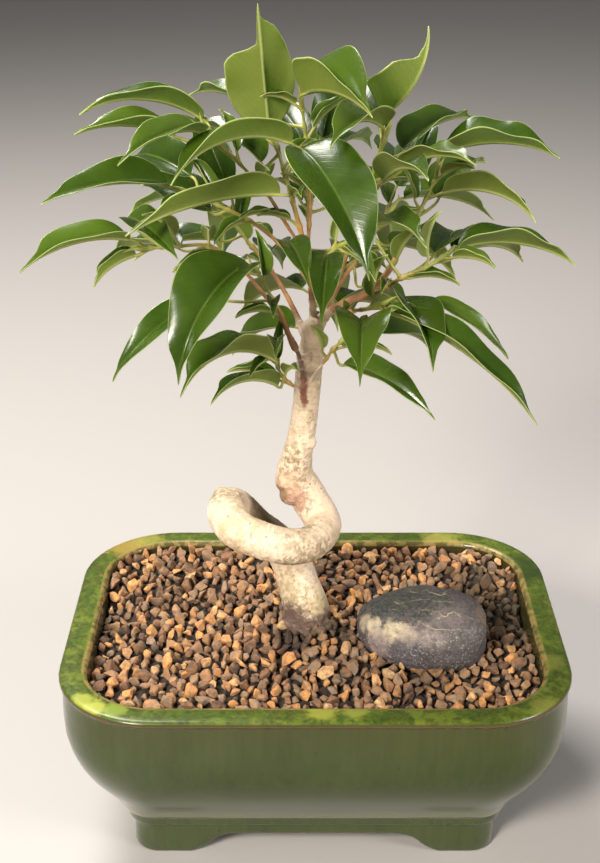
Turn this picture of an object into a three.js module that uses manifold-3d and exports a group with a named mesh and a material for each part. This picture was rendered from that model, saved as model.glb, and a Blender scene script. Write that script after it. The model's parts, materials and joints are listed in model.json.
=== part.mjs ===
// A small weeping-fig bonsai with one full turn of coil in its trunk, in a footed, green-glazed
// rectangular pot with fired-clay gravel and a river stone.
//
// Millimetres, +Z up. The origin is on the surface under the middle of the pot; +X is the viewer's
// right from the front and +Y runs to the back.

import * as THREE from "three";
import { mergeVertices } from "three/addons/utils/BufferGeometryUtils.js";
import Module from "manifold-3d";

const wasm = await Module();
wasm.setup();

// ---------------------------------------------------------------- driving dimensions

const POT_LENGTH = 152; // across the rim, left to right
const POT_DEPTH = 114; // across the rim, front to back
const POT_HEIGHT = 62;
const RIM_WIDTH = 9; // the flat top of the rim
const WALL = 6.5;
const FOOT_HEIGHT = 7; // under the apron
const FLOOR_TOP = 16;
const CORNER_STEPS = 5; // facets on each rounded corner

const CLEARANCE = 0.3; // between pieces that touch on the real thing

const SOIL_TOP = 50;
const GRAVEL_EDGE_Z = 58.6; // the gravel's mean level along the wall
const GRAVEL_MOUND = 3.4; // how much higher it lies round the trunk
const GRAVEL_MOUND_REACH = 26;
const GRAIN_STEP = 3; // between the relief's points; every other one is a grain's top
const GRAIN_RELIEF = 2.2;

const DRAIN_HOLE_X = 26;
const DRAIN_HOLE_RADIUS = 5.5;
const SCREEN_SIZE = 20;
const SCREEN_THICKNESS = 1;
const SCREEN_OPENINGS = 3; // along each side of the mesh

const LEAF_THICKNESS = 0.7;
const LEAF_WIDTH_SHARE = 0.43; // of the blade's length, before it folds
const LEAF_ARCH_SHARE = 0.12; // rise of the midrib over its chord
const LEAF_FOLD = 30; // degrees each half of a blade rises from flat
const PETIOLE_WIDTH = 1;

const TRUNK_SIDES = 10;
const LIMB_SIDES = 5;
const TWIG_SIDES = 4;
const STALK_SIDES = 3;

// ---------------------------------------------------------------- colours

const COLOURS = {
  glaze: new THREE.MeshStandardMaterial({ color: 0x4c5a28, roughness: 0.25, metalness: 0 }),
  screen: new THREE.MeshStandardMaterial({ color: 0x1c1c1a, roughness: 0.6, metalness: 0 }),
  soil: new THREE.MeshStandardMaterial({ color: 0x33241a, roughness: 1, metalness: 0 }),
  gravel: new THREE.MeshStandardMaterial({ color: 0x86603f, roughness: 0.95, metalness: 0 }),
  stone: new THREE.MeshStandardMaterial({ color: 0x4a4c52, roughness: 0.7, metalness: 0 }),
  bark: new THREE.MeshStandardMaterial({ color: 0xcdbb95, roughness: 0.85, metalness: 0 }),
  leaf: new THREE.MeshStandardMaterial({ color: 0x3f6b22, roughness: 0.35, metalness: 0 }),
};

// ---------------------------------------------------------------- helpers

const vec = ([x, y, z]) => new THREE.Vector3(x, y, z);

/** A repeatable draw from 0 to 1 for a pair of whole numbers. */
function draw(number, seed) {
  const wave = Math.sin(number * 12.9898 + seed * 78.233) * 43758.5453;
  return wave - Math.floor(wave);
}

function geometryOf(positions, indices) {
  const geometry = new THREE.BufferGeometry();
  geometry.setAttribute("position", new THREE.Float32BufferAttribute(positions, 3));
  geometry.setIndex(indices);
  return geometry;
}

/** A closed three.js geometry as a solid that can be joined and cut. */
function solidOf(geometry) {
  const bare = geometry.clone();
  for (const name of Object.keys(bare.attributes)) {
    if (name !== "position") bare.deleteAttribute(name);
  }
  const merged = mergeVertices(bare, 1e-4);
  return new wasm.Manifold(
    new wasm.Mesh({
      numProp: 3,
      vertProperties: new Float32Array(merged.attributes.position.array),
      triVerts: new Uint32Array(merged.index.array),
    }),
  );
}

const joined = (solids) => solids.reduce((whole, next) => whole.add(next));

function meshOf(name, solid, material) {
  const mesh = solid.getMesh();
  const positions = [];
  for (let i = 0; i < mesh.numVert; i++) {
    positions.push(...mesh.vertProperties.subarray(i * mesh.numProp, i * mesh.numProp + 3));
  }
  const node = new THREE.Mesh(geometryOf(positions, Array.from(mesh.triVerts)), material);
  node.name = name;
  return node;
}

/**
 * A solid through rings of equally many points, each ring turning anticlockwise seen from the last.
 * Each side is a strip of four-cornered faces, split along one diagonal, or along the other one for
 * the sides in `mirrored`.
 */
function loft(rings, mirrored = []) {
  const count = rings[0].length;
  const positions = rings.flat().flatMap((point) => [point.x, point.y, point.z]);
  const indices = [];
  for (let r = 0; r < rings.length - 1; r++) {
    for (let i = 0; i < count; i++) {
      const next = (i + 1) % count;
      const [a, b] = [r * count + i, r * count + next];
      if (mirrored.includes(i)) indices.push(a, b, a + count, b, b + count, a + count);
      else indices.push(a, b, b + count, a, b + count, a + count);
    }
  }
  const last = (rings.length - 1) * count;
  for (let i = 1; i < count - 1; i++) {
    indices.push(0, i + 1, i);
    indices.push(last, last + i, last + i + 1);
  }
  return geometryOf(positions, indices);
}

/** A round bar of changing radius along a smooth curve; radiusAt and the range run from 0 to 1. */
function sweep(curve, radiusAt, { sides, steps, from = 0, to = 1 }) {
  const frames = curve.computeFrenetFrames(steps * 4, false);
  const rings = [];
  for (let s = 0; s <= steps; s++) {
    const u = from + ((to - from) * s) / steps;
    const centre = curve.getPointAt(u);
    const frame = Math.round(u * steps * 4);
    const ring = [];
    for (let i = 0; i < sides; i++) {
      const turn = (2 * Math.PI * i) / sides;
      ring.push(
        centre
          .clone()
          .addScaledVector(frames.normals[frame], Math.cos(turn) * radiusAt(u))
          .addScaledVector(frames.binormals[frame], Math.sin(turn) * radiusAt(u)),
      );
    }
    rings.push(ring);
  }
  return loft(rings);
}

// ---------------------------------------------------------------- pot

/** The pot's plan at one level: a rounded rectangle set in from the rim's outer edge. */
function potRing(z, inset, cornerRadius) {
  const halfLength = POT_LENGTH / 2 - inset - cornerRadius;
  const halfDepth = POT_DEPTH / 2 - inset - cornerRadius;
  const ring = [];
  [[1, -1], [1, 1], [-1, 1], [-1, -1]].forEach(([sideX, sideY], corner) => {
    for (let i = 0; i <= CORNER_STEPS; i++) {
      const turn = (Math.PI / 2) * (corner - 1 + i / CORNER_STEPS);
      ring.push(
        new THREE.Vector3(
          sideX * halfLength + cornerRadius * Math.cos(turn),
          sideY * halfDepth + cornerRadius * Math.sin(turn),
          z,
        ),
      );
    }
  });
  return ring;
}

// Each level: height, inset from the rim's outer edge, corner radius.
const BAND_INSET = 20.2;
const BAND_CORNER = 8;
const OUTSIDE = [
  [0, BAND_INSET, BAND_CORNER],
  [11, BAND_INSET, BAND_CORNER],
  [11.6, 18.4, 9],
  [14.4, 18.4, 9],
  [15, 17.4, 10],
  [18, 15.6, 12],
  [23, 12.2, 16],
  [31, 6.6, 20],
  [40, 2.6, 23],
  [50, 1, 25],
  [59.6, 0.8, 26],
  [60.2, 0, 27],
  [61.2, 0, 27],
  [POT_HEIGHT, 1, 26],
];
const INSIDE = [
  [FLOOR_TOP, 26, 9],
  [19, 15.6 + WALL, 11],
  [24, 12.2 + WALL, 14],
  [31, 6.6 + WALL + 1, 17],
  [42, RIM_WIDTH + 1, 19],
  [POT_HEIGHT + 1, RIM_WIDTH, 19],
];

/** The pot's cavity, or what fills it when it is shrunk by a clearance and cut off at two levels. */
function cavity(clearance, bottom, top) {
  const rings = INSIDE.map(([z, inset, corner]) => potRing(z + clearance, inset + clearance, corner));
  const whole = solidOf(loft(rings));
  const slab = new THREE.BoxGeometry(POT_LENGTH, POT_DEPTH, top - bottom);
  slab.translate(0, 0, (top + bottom) / 2);
  return whole.intersect(solidOf(slab));
}

/** The space between two feet: wide at the surface, and closing in a cloud curve under the apron. */
function footArch(halfTop, halfBottom, length) {
  const shape = new THREE.Shape();
  const shoulder = (halfTop + halfBottom) / 2;
  shape.moveTo(-halfBottom, -1);
  shape.lineTo(halfBottom, -1);
  shape.lineTo(halfBottom, 0);
  shape.quadraticCurveTo(shoulder + 2, 1.5, shoulder, FOOT_HEIGHT * 0.55);
  shape.quadraticCurveTo(shoulder - 3, FOOT_HEIGHT, halfTop - 4, FOOT_HEIGHT);
  shape.lineTo(-halfTop + 4, FOOT_HEIGHT);
  shape.quadraticCurveTo(-shoulder + 3, FOOT_HEIGHT, -shoulder, FOOT_HEIGHT * 0.55);
  shape.quadraticCurveTo(-shoulder - 2, 1.5, -halfBottom, 0);
  const arch = new THREE.ExtrudeGeometry(shape, { depth: length, bevelEnabled: false, curveSegments: 3 });
  arch.translate(0, 0, -length / 2);
  arch.rotateX(Math.PI / 2);
  return arch;
}

function makePot() {
  let pot = solidOf(loft(OUTSIDE.map((level) => potRing(...level))));
  pot = pot.subtract(cavity(0, FLOOR_TOP, POT_HEIGHT + 1));
  const underside = loft([potRing(-1, BAND_INSET + 8, 4), potRing(FOOT_HEIGHT, BAND_INSET + 8, 4)]);
  pot = pot.subtract(solidOf(underside));
  pot = pot.subtract(solidOf(footArch(26, 38, POT_DEPTH)));
  pot = pot.subtract(solidOf(footArch(11, 20, POT_LENGTH).rotateZ(Math.PI / 2)));
  for (const side of [-1, 1]) {
    const hole = new THREE.CylinderGeometry(DRAIN_HOLE_RADIUS, DRAIN_HOLE_RADIUS, 2 * FLOOR_TOP, 12);
    hole.rotateX(Math.PI / 2);
    hole.translate(side * DRAIN_HOLE_X, 0, FLOOR_TOP);
    pot = pot.subtract(solidOf(hole));
  }
  return pot;
}

/** The plastic mesh that keeps the soil out of a drainage hole. */
function makeScreen(x) {
  const middle = FLOOR_TOP + CLEARANCE + SCREEN_THICKNESS / 2;
  const place = (geometry, dx, dy) => solidOf(geometry.translate(x + dx, dy, middle));
  let screen = place(new THREE.BoxGeometry(SCREEN_SIZE, SCREEN_SIZE, SCREEN_THICKNESS), 0, 0);
  const pitch = SCREEN_SIZE / (SCREEN_OPENINGS + 0.4);
  for (let column = 0; column < SCREEN_OPENINGS; column++) {
    for (let row = 0; row < SCREEN_OPENINGS; row++) {
      const hole = new THREE.BoxGeometry(pitch * 0.62, pitch * 0.62, SCREEN_THICKNESS * 2);
      const [dx, dy] = [column, row].map((n) => (n - (SCREEN_OPENINGS - 1) / 2) * pitch);
      screen = screen.subtract(place(hole, dx, dy));
    }
  }
  return screen;
}

// ---------------------------------------------------------------- soil, gravel and stone

function makeSoil() {
  let soil = cavity(CLEARANCE, FLOOR_TOP + CLEARANCE, SOIL_TOP);
  for (const side of [-1, 1]) {
    const size = SCREEN_SIZE + 2 * CLEARANCE;
    const pocket = new THREE.BoxGeometry(size, size, 2 * (SCREEN_THICKNESS + 2 * CLEARANCE));
    soil = soil.subtract(solidOf(pocket.translate(side * DRAIN_HOLE_X, 0, FLOOR_TOP)));
  }
  return soil;
}

const STONE_CENTRE = new THREE.Vector3(33, -9, 63.5);
const STONE_HALF = new THREE.Vector3(20, 15.5, 11);
const STONE_TURN = THREE.MathUtils.degToRad(-6);

/** A worn river stone: flatter underneath, blunt to the right and drawn out to the left. */
function makeStone(growth) {
  const ball = new THREE.SphereGeometry(1, 20, 12).rotateX(Math.PI / 2);
  const position = ball.getAttribute("position");
  const point = new THREE.Vector3();
  for (let i = 0; i < position.count; i++) {
    point.fromBufferAttribute(position, i);
    const [x, y, z] = point.toArray().map(Math.abs);
    point.multiplyScalar((x ** 2.6 + y ** 2.3 + z ** 2.2) ** -0.4);
    point.y *= 1 - 0.16 * Math.max(0, -point.x);
    point.z *= 1 - 0.14 * Math.max(0, -point.x) + 0.04 * Math.sin(5 * point.x + 3 * point.y);
    if (point.z < 0) point.z *= 0.8;
    point.multiply(STONE_HALF).multiplyScalar(growth);
    position.setXYZ(i, point.x, point.y, point.z);
  }
  ball.rotateZ(STONE_TURN).translate(STONE_CENTRE.x, STONE_CENTRE.y, STONE_CENTRE.z);
  return solidOf(ball);
}

/** The gravel's mean surface: a low mound round the trunk. */
function gravelLevel(x, y) {
  return GRAVEL_EDGE_Z + GRAVEL_MOUND * Math.exp(-(x * x + y * y) / GRAVEL_MOUND_REACH ** 2);
}

/** A grain's top is at every other point of the gravel's relief, as on a chessboard. */
const isGrainTop = (column, row) => (column + row) % 2 === 0;

/** One point of the relief, drawn aside and up or down a little. */
function gravelPoint(column, row) {
  const key = column + 997 * row;
  const wander = isGrainTop(column, row) ? 0.7 : 0.4;
  const x = (column + wander * (draw(key, 3) - 0.5)) * GRAIN_STEP;
  const y = (row + wander * (draw(key, 5) - 0.5)) * GRAIN_STEP;
  const rise = isGrainTop(column, row) ? 0.6 + 0.4 * draw(key, 7) : 0.35 * draw(key, 9);
  return new THREE.Vector3(x, y, gravelLevel(x, y) + GRAIN_RELIEF * (rise - 0.5));
}

/** A slab whose top has one bump for each grain, cut to the pot, the trunk and the stone. */
function makeGravel(trunkRoom, stoneRoom) {
  const columns = Math.ceil(POT_LENGTH / 2 / GRAIN_STEP);
  const rows = Math.ceil(POT_DEPTH / 2 / GRAIN_STEP);
  const positions = [];
  const indices = [];
  for (const isTop of [true, false]) {
    for (let column = -columns; column <= columns; column++) {
      for (let row = -rows; row <= rows; row++) {
        const point = gravelPoint(column, row);
        positions.push(point.x, point.y, isTop ? point.z : SOIL_TOP - 5);
      }
    }
  }
  const under = positions.length / 6;
  const at = (column, row) => (column + columns) * (2 * rows + 1) + row + rows;
  const skirt = (a, b) => indices.push(a, a + under, b + under, a, b + under, b);
  for (let row = -rows; row < rows; row++) {
    for (let column = -columns; column < columns; column++) {
      const [a, b] = [at(column, row), at(column + 1, row)];
      const [c, d] = [at(column + 1, row + 1), at(column, row + 1)];
      const faces = isGrainTop(column, row) ? [a, b, d, b, c, d] : [a, b, c, a, c, d];
      indices.push(...faces, ...faces.map((i) => i + under).reverse());
    }
    skirt(at(-columns, row + 1), at(-columns, row));
    skirt(at(columns, row), at(columns, row + 1));
  }
  for (let column = -columns; column < columns; column++) {
    skirt(at(column, -rows), at(column + 1, -rows));
    skirt(at(column + 1, rows), at(column, rows));
  }
  return solidOf(geometryOf(positions, indices))
    .intersect(cavity(CLEARANCE, SOIL_TOP + CLEARANCE, POT_HEIGHT + 1))
    .subtract(trunkRoom)
    .subtract(stoneRoom);
}

// ---------------------------------------------------------------- trunk

// The trunk's line: x, y, z and radius. It leaves the gravel, swings round the back, makes one
// full turn to the left, crosses in front and climbs to the pruned top.
const TRUNK = [
  [-1.6, 2, 42, 7.8],
  [-1.6, 2, 50, 7.6],
  [-2.1, 2.3, 61, 7.3],
  [-4.3, 4, 69, 6.7],
  [-7.2, 7.5, 77, 6.1],
  [-11.5, 12, 82.5, 5.3],
  [-18, 12.5, 88, 4.9],
  [-22.8, 9.5, 94.6, 5.1],
  [-25.6, 3, 99.6, 5.5],
  [-26.5, -6, 101, 5.8],
  [-23, -13, 99.5, 5.8],
  [-16, -16, 97.5, 5.6],
  [-7.5, -15, 95, 5.4],
  [-0.5, -9, 93.5, 5.4],
  [2.5, 0, 95, 5.5],
  [-1.8, 5, 101, 5.8],
  [-5.8, 6, 108, 5.8],
  [-5.4, 5, 115, 4.7],
  [-4, 4.5, 122, 4],
  [-3, 4, 130, 3.9],
  [-2.3, 3, 139, 3.9],
  [-1.5, 3, 147, 3.8],
  [-0.9, 2.6, 154, 3.6],
  [-1, 2.2, 157.5, 3.1],
];

// Lumps on the bark: place and radius. Old pruning scars, and the swelling over the coil.
const KNOTS = [
  [[-8.2, 4, 107.4], 3.8],
  [[-6.9, 3.4, 103.3], 3.9],
  [[-8, 3.4, 113.5], 2.6],
  [[-1.8, 3.2, 120.5], 2.3],
  [[-28, 2, 103], 3],
  [[-3, 0.8, 149], 2.6],
];

function makeTrunk(limbs) {
  const line = new THREE.CatmullRomCurve3(TRUNK.map(vec), false, "centripetal");
  const lengths = line.getLengths(TRUNK.length * 20);
  const knots = TRUNK.map((_, i) => lengths[i * 20] / lengths[lengths.length - 1]);
  const radiusAt = (u) => {
    const above = knots.findIndex((share) => share > u);
    const i = above < 1 ? TRUNK.length - 1 : above;
    const share = Math.min((u - knots[i - 1]) / (knots[i] - knots[i - 1]), 1);
    return THREE.MathUtils.lerp(TRUNK[i - 1][3], TRUNK[i][3], share);
  };
  const solids = [solidOf(sweep(line, radiusAt, { sides: TRUNK_SIDES, steps: 42 }))];
  for (const [place, radius] of KNOTS) {
    solids.push(solidOf(new THREE.IcosahedronGeometry(radius, 1).translate(...place)));
  }
  return joined([...solids, ...limbs]);
}

/** The plain hole that the trunk's foot stands in. */
function trunkHole() {
  const [x, y, bottom, radius] = TRUNK[0];
  const hole = new THREE.CylinderGeometry(radius + 2.5 * CLEARANCE, radius + 2.5 * CLEARANCE, 40, 16);
  return solidOf(hole.rotateX(Math.PI / 2).translate(x, y, bottom - CLEARANCE + 20));
}

// ---------------------------------------------------------------- leaves and twigs

/** A leaf: where its stalk leaves the green twig (0 to 1), where its blade starts and ends, its habit. */
const leaf = (at, base, tip, habit = {}) => ({ at, base: vec(base), tip: vec(tip), ...habit });

// The ways a blade's upper side is turned, besides straight up.
const BACK = { faces: [0, 0.35, 1] };
const RIGHT = { faces: [0.7, 0, 1] };
const LEFT = { faces: [-0.7, 0, 1] };

// Each limb runs from inside the wood to the end of its twig. Its first `wood` steps are bark and
// belong to the trunk; from there on it is a green twig that carries the leaves.
const SPRAYS = [
  {
    name: "spray_right_high",
    limb: [[-1, 5.5, 152], [3.5, 5, 160.5], [9, 1.5, 165.5], [14, 0, 168.5], [19, 0, 173], [25, 5, 182], [34, 11, 199]],
    wood: 4,
    radius: [2.4, 0.6],
    leaves: [
      leaf(1, [36, 10, 207], [67, 2, 207], { faces: [0, -0.05, 1], wide: 1.25, fold: 38 }),
      leaf(0.8, [36, 8, 196], [60, -8, 191.5], { faces: [0.1, 0.7, 1], arch: 0.16 }),
      leaf(0.62, [35, 13, 193], [52, 42, 196]),
    ],
  },
  {
    name: "spray_right_mid",
    limb: [[8, 2, 164.6], [14, -2, 168], [19, -6, 172], [24, -11, 177], [30, -12, 180], [35, -11, 183]],
    wood: 2,
    radius: [1.3, 0.6],
    leaves: [
      leaf(1, [39, -9, 185], [72, -7, 179], { faces: [0, 0.15, 1], wide: 1.1 }),
      leaf(0.85, [39, -3, 181], [62, 22, 171]),
      leaf(0.5, [33, -4, 182], [46, 28, 173]),
      leaf(0.35, [15, -12, 192], [27.5, -40, 194], { faces: [0, 0, 1], wide: 0.9 }),
    ],
  },
  {
    name: "spray_right_low",
    limb: [[6, 3.2, 162.8], [10, -2, 164], [14, -6, 166], [18, -8, 168]],
    wood: 1,
    radius: [1.1, 0.6],
    leaves: [
      leaf(1, [21, -15, 168], [60, -33, 142], { faces: [0.1, -0.05, 1], wide: 0.65, arch: 0.09 }),
      leaf(0.85, [22.5, -3, 168], [31, -34, 158], { faces: [0.6, -0.5, 1], wide: 1.15 }),
      leaf(0.75, [33, -4, 168], [55.5, -4, 150], { faces: [0.2, -0.5, 1], wide: 0.6, arch: 0.08 }),
    ],
  },
  {
    name: "spray_top_front",
    limb: [[-0.5, 3, 152], [-1, 6, 164], [-2, 6, 175], [-4, 2, 185], [-8, -1, 201], [-11, 1, 211]],
    wood: 3,
    radius: [1.9, 0.65],
    leaves: [
      leaf(1, [-13, 2, 215], [-15.4, -8, 249.5], { faces: [-0.2, 1, 0.2], arch: 0.02, wide: 1.45, fold: 24 }),
      leaf(0.75, [-7, -14, 215], [-37, -36, 209], { faces: [0, 0.35, 1], arch: 0.17 }),
      leaf(0.5, [-10, -13, 201], [-49, -36, 196], { faces: [-0.1, 0.5, 1], arch: 0.07, wide: 0.9 }),
      leaf(0.9, [-15, 2, 206], [-36, 22, 212]),
      leaf(0.65, [-4, -18, 214], [13, -45, 187], { faces: [0.4, -0.8, 0.5], wide: 1.4, arch: 0.12 }),
    ],
  },
  {
    name: "spray_top_mid",
    limb: [[-2, 6, 175], [-2, 9, 186], [-2, 9, 198], [-3, 7, 212], [-4, 3, 221]],
    wood: 1,
    radius: [1.1, 0.6],
    leaves: [
      leaf(1, [-3.7, -2, 225.4], [13.7, -30, 224.8], { wide: 1.5, arch: 0.1, fold: 62 }),
      leaf(0.8, [-15, 14, 217], [-37, 34, 218]),
      leaf(0.5, [-3, 15, 206], [-14, 40, 214]),
    ],
  },
  {
    name: "spray_top_right",
    limb: [[1, 6, 158], [6, 11, 168], [11, 8, 184], [15, 4, 200], [19, 3, 213]],
    wood: 1,
    radius: [1.3, 0.65],
    leaves: [
      leaf(1, [18.1, 1, 219.7], [28.7, -6, 243.4], { faces: [-0.6, 0.5, 0.4], wide: 1.1, arch: -0.15 }),
      leaf(0.95, [17, 9, 216], [4, 32, 221], { arch: 0.16 }),
      leaf(0.85, [24, 4, 209], [47, 28, 212]),
      leaf(0.9, [17.5, -3, 217], [3, -30, 217], { faces: [0.2, 0.35, 1], wide: 1.15, arch: 0.14 }),
      leaf(0.7, [22, 9, 203], [24, 42, 198]),
      leaf(0.55, [18, -6, 203], [27.9, -34, 209.7], BACK),
      leaf(0.65, [24, 0, 205], [41.5, -20, 210.3]),
    ],
  },
  {
    name: "spray_left_front",
    limb: [
      [-3.4, 0.5, 136], [-3.7, -1.6, 143], [-4.6, -3, 150], [-6.8, -5.5, 156.5], [-9, -8.5, 163.5],
      [-11.5, -12, 170], [-14, -16, 176], [-16, -19, 181],
    ],
    wood: 4,
    radius: [1.3, 0.6],
    leaves: [
      leaf(1, [-18, -22, 184], [-36, -46, 159], { faces: [-0.45, -0.8, 0.5], wide: 1.3, arch: 0.22 }),
      leaf(0.4, [-31, -13, 171], [-56, -24, 151], { faces: [0, -0.6, 1], arch: 0.16, wide: 0.65 }),
    ],
  },
  {
    name: "spray_left_low",
    limb: [[-3, 1, 136], [-4.6, -1.6, 139.6], [-6.8, -4, 142], [-9.5, -7, 146], [-12, -11, 153]],
    wood: 2,
    radius: [1, 0.55],
    leaves: [
      leaf(0.9, [-12, -16, 155], [-36, -42, 154], { faces: [0, 0.3, 1], arch: 0.2, wide: 1.2 }),
      leaf(1, [-11, -18, 160], [-10.8, -42, 165], { faces: [0, -0.5, 1], wide: 0.55 }),
      leaf(0.3, [-11, -6, 143], [-29, -28, 146], { faces: [0, 0.5, 1], arch: 0.15, wide: 0.8 }),
    ],
  },
  {
    name: "spray_left_mid",
    limb: [[-5.8, -4.5, 153.5], [-11, -4, 164], [-21, -6, 178], [-29, -12, 186], [-38, -19, 188], [-45, -24, 189]],
    wood: 2,
    radius: [1.3, 0.6],
    leaves: [
      leaf(1, [-49, -28, 193], [-75, -45, 189], { faces: [0, -0.1, 1], wide: 0.95 }),
      leaf(0.85, [-51, -12, 194], [-36, -31, 188], { faces: [-0.3, -0.1, 1] }),
      leaf(0.4, [-38, -3, 183], [-60, 22, 170], { faces: [0, -0.2, 1], wide: 0.9 }),
    ],
  },
  {
    name: "spray_left_high",
    limb: [[-3, 4, 179], [-8, 4, 187], [-14, 0, 198], [-22, -4, 208], [-28, -4, 215]],
    wood: 1,
    radius: [1, 0.55],
    leaves: [
      leaf(1, [-31, 2, 218], [-63, -8, 221], { faces: [0, 0.1, 1], arch: 0.15 }),
      leaf(0.9, [-38, -7, 215.5], [-62.5, -22, 218.8], { faces: [0, -0.1, 1], wide: 0.95, arch: 0.1, fold: 34 }),
      leaf(0.75, [-30, -14, 218], [-49, -44, 216], { faces: [0, -0.3, 1], wide: 0.75, arch: 0.1 }),
    ],
  },
  {
    name: "spray_left_back",
    limb: [[-2, 7, 170], [-8, 9, 178], [-18, 8, 187], [-28, 5, 193], [-36, 0, 198]],
    wood: 1,
    radius: [1.1, 0.6],
    leaves: [
      leaf(1, [-40, -8, 202], [-72, -24, 201], { faces: [0, -0.4, 1], wide: 0.95, arch: 0.1 }),
      leaf(0.85, [-35, 6, 201], [-54, 34, 199], LEFT),
      leaf(0.6, [-30, 10, 190], [-52, 34, 191], LEFT),
    ],
  },
  {
    name: "spray_front_right",
    limb: [[-1.5, 1, 140.5], [-1, -1.8, 143.6], [2.4, -3.5, 149], [5.2, -4.6, 153.5], [10, -5.5, 158.5]],
    wood: 2,
    radius: [1, 0.55],
    leaves: [
      leaf(1, [13, -10, 163], [11, -45, 158], { faces: [0, -0.3, 1], wide: 1.2, arch: 0.2 }),
      leaf(0.4, [8, -5, 149], [33, -25, 140], { faces: [0.1, -0.4, 1], wide: 0.75, arch: 0.12 }),
      leaf(0.7, [18, 2, 156], [36, 26, 140], RIGHT),
    ],
  },
  {
    name: "spray_front_mid",
    limb: [[-3, 4, 178], [-1, -2, 181], [3, -7, 183], [6, -12, 186]],
    wood: 1,
    radius: [0.9, 0.55],
    leaves: [
      leaf(1, [3, -13, 184], [1, -38, 172], { faces: [0, -0.5, 1], wide: 0.9 }),
      leaf(0.5, [-8, -5, 185], [-2, -30, 180], { faces: [0, -0.5, 1], wide: 0.9 }),
    ],
  },
  {
    name: "spray_back_right",
    limb: [[0, 5, 154], [4, 12, 161], [10, 20, 169], [17, 27, 177], [23, 33, 184]],
    wood: 2,
    radius: [1.6, 0.6],
    leaves: [
      leaf(1, [27, 36, 187], [56, 46, 177]),
      leaf(0.85, [22, 37, 184], [26, 57, 156], { faces: [0, 1, 0.8] }),
      leaf(0.55, [22, 24, 176], [44, 38, 160]),
      leaf(0.4, [11, 28, 172], [8, 55, 157], { faces: [0, 1, 0.8] }),
      leaf(0.1, [14, 18, 165], [32, 32, 146], RIGHT),
      leaf(0.75, [25, 38, 190], [38, 52, 210], { faces: [0, -1, 0.3], arch: 0.06 }),
    ],
  },
  {
    name: "spray_back_left",
    limb: [[-3, 5, 154], [-7, 12, 161], [-13, 20, 169], [-21, 27, 177], [-27, 32, 184]],
    wood: 2,
    radius: [1.6, 0.6],
    leaves: [
      leaf(1, [-31, 35, 187], [-58, 48, 178]),
      leaf(0.85, [-26, 36, 184], [-30, 57, 158], { faces: [0, 1, 0.8] }),
      leaf(0.6, [-28, 22, 178], [-54, 20, 172]),
      leaf(0.4, [-14, 28, 172], [-10, 56, 158], { faces: [0, 1, 0.8] }),
      leaf(0.15, [-20, 19, 169], [-44, 32, 155], LEFT),
      leaf(0.75, [-26, 36, 190], [-37, 50, 212], { faces: [0, -1, 0.3], arch: 0.06 }),
    ],
  },
  {
    name: "spray_back_low",
    limb: [[-1, 5, 148], [-1, 12, 153], [0, 20, 158], [2, 28, 162]],
    wood: 1,
    radius: [1.3, 0.6],
    leaves: [
      leaf(1, [3, 33, 163], [8, 57, 136], { faces: [0, 1, 0.8] }),
      leaf(0.7, [-4, 28, 161], [-24, 50, 144], { faces: [-0.3, 0.8, 1] }),
      leaf(0.5, [7, 23, 158], [32, 44, 142], { faces: [0.3, 0.8, 1] }),
      leaf(0.25, [-6, 16, 153], [-26, 36, 136], LEFT),
    ],
  },
  {
    name: "spray_back_high",
    limb: [[-2, 6, 172], [-2, 14, 182], [-1, 20, 193], [0, 25, 203]],
    wood: 1,
    radius: [1.1, 0.6],
    leaves: [
      leaf(1, [2, 28, 207], [8, 44, 228], { faces: [0, -1, 0.5], arch: 0.06 }),
      leaf(0.9, [-4, 29, 204], [-26, 52, 202]),
      leaf(0.8, [5, 29, 203], [18, 57, 197]),
      leaf(0.6, [0, 28, 196], [-2, 57, 176], { faces: [0, 1, 0.8] }),
      leaf(0.25, [4, 18, 190], [30, 24, 195], RIGHT),
    ],
  },
];

/** A limb's middle line, and the share of it that is bark. */
function limbLine(spray) {
  const points = spray.limb.map(vec);
  const steps = points.slice(1).map((point, i) => point.distanceTo(points[i]));
  const sum = (list) => list.reduce((total, next) => total + next, 0);
  return {
    curve: new THREE.CatmullRomCurve3(points, false, "centripetal"),
    bark: sum(steps.slice(0, spray.wood)) / sum(steps),
  };
}

function limbPiece(spray, sides, from, to, steps) {
  const radiusAt = (u) => THREE.MathUtils.lerp(...spray.radius, u);
  return solidOf(sweep(limbLine(spray).curve, radiusAt, { sides, steps, from, to }));
}

/** The woody part of a limb, for the trunk. */
const limbWood = (spray) => limbPiece(spray, LIMB_SIDES, 0, limbLine(spray).bark, spray.wood + 1);

/** A flat cross-section of a strip: its middle, half its width, how far its edges lift, its thickness. */
function stripSection(middle, { across, normal, half, lift, thickness }) {
  const edge = (side) => middle.clone().addScaledVector(across, side * half).addScaledVector(normal, lift);
  const below = (point) => point.clone().addScaledVector(normal, -thickness);
  const [left, right] = [edge(-1), edge(1)];
  return [middle, right, below(right), below(middle), below(left), left];
}
const UNDER_SIDES = [2, 3]; // the section's sides on the strip's underside

// Stations along a blade, and its half-width there as a share of the widest.
const BLADE_STATIONS = [0.02, 0.15, 0.38, 0.64, 0.87, 1];
const bladeOutline = (t) => (t ** 0.6 * (1 - t) ** 1.35) / 0.3;

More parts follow.
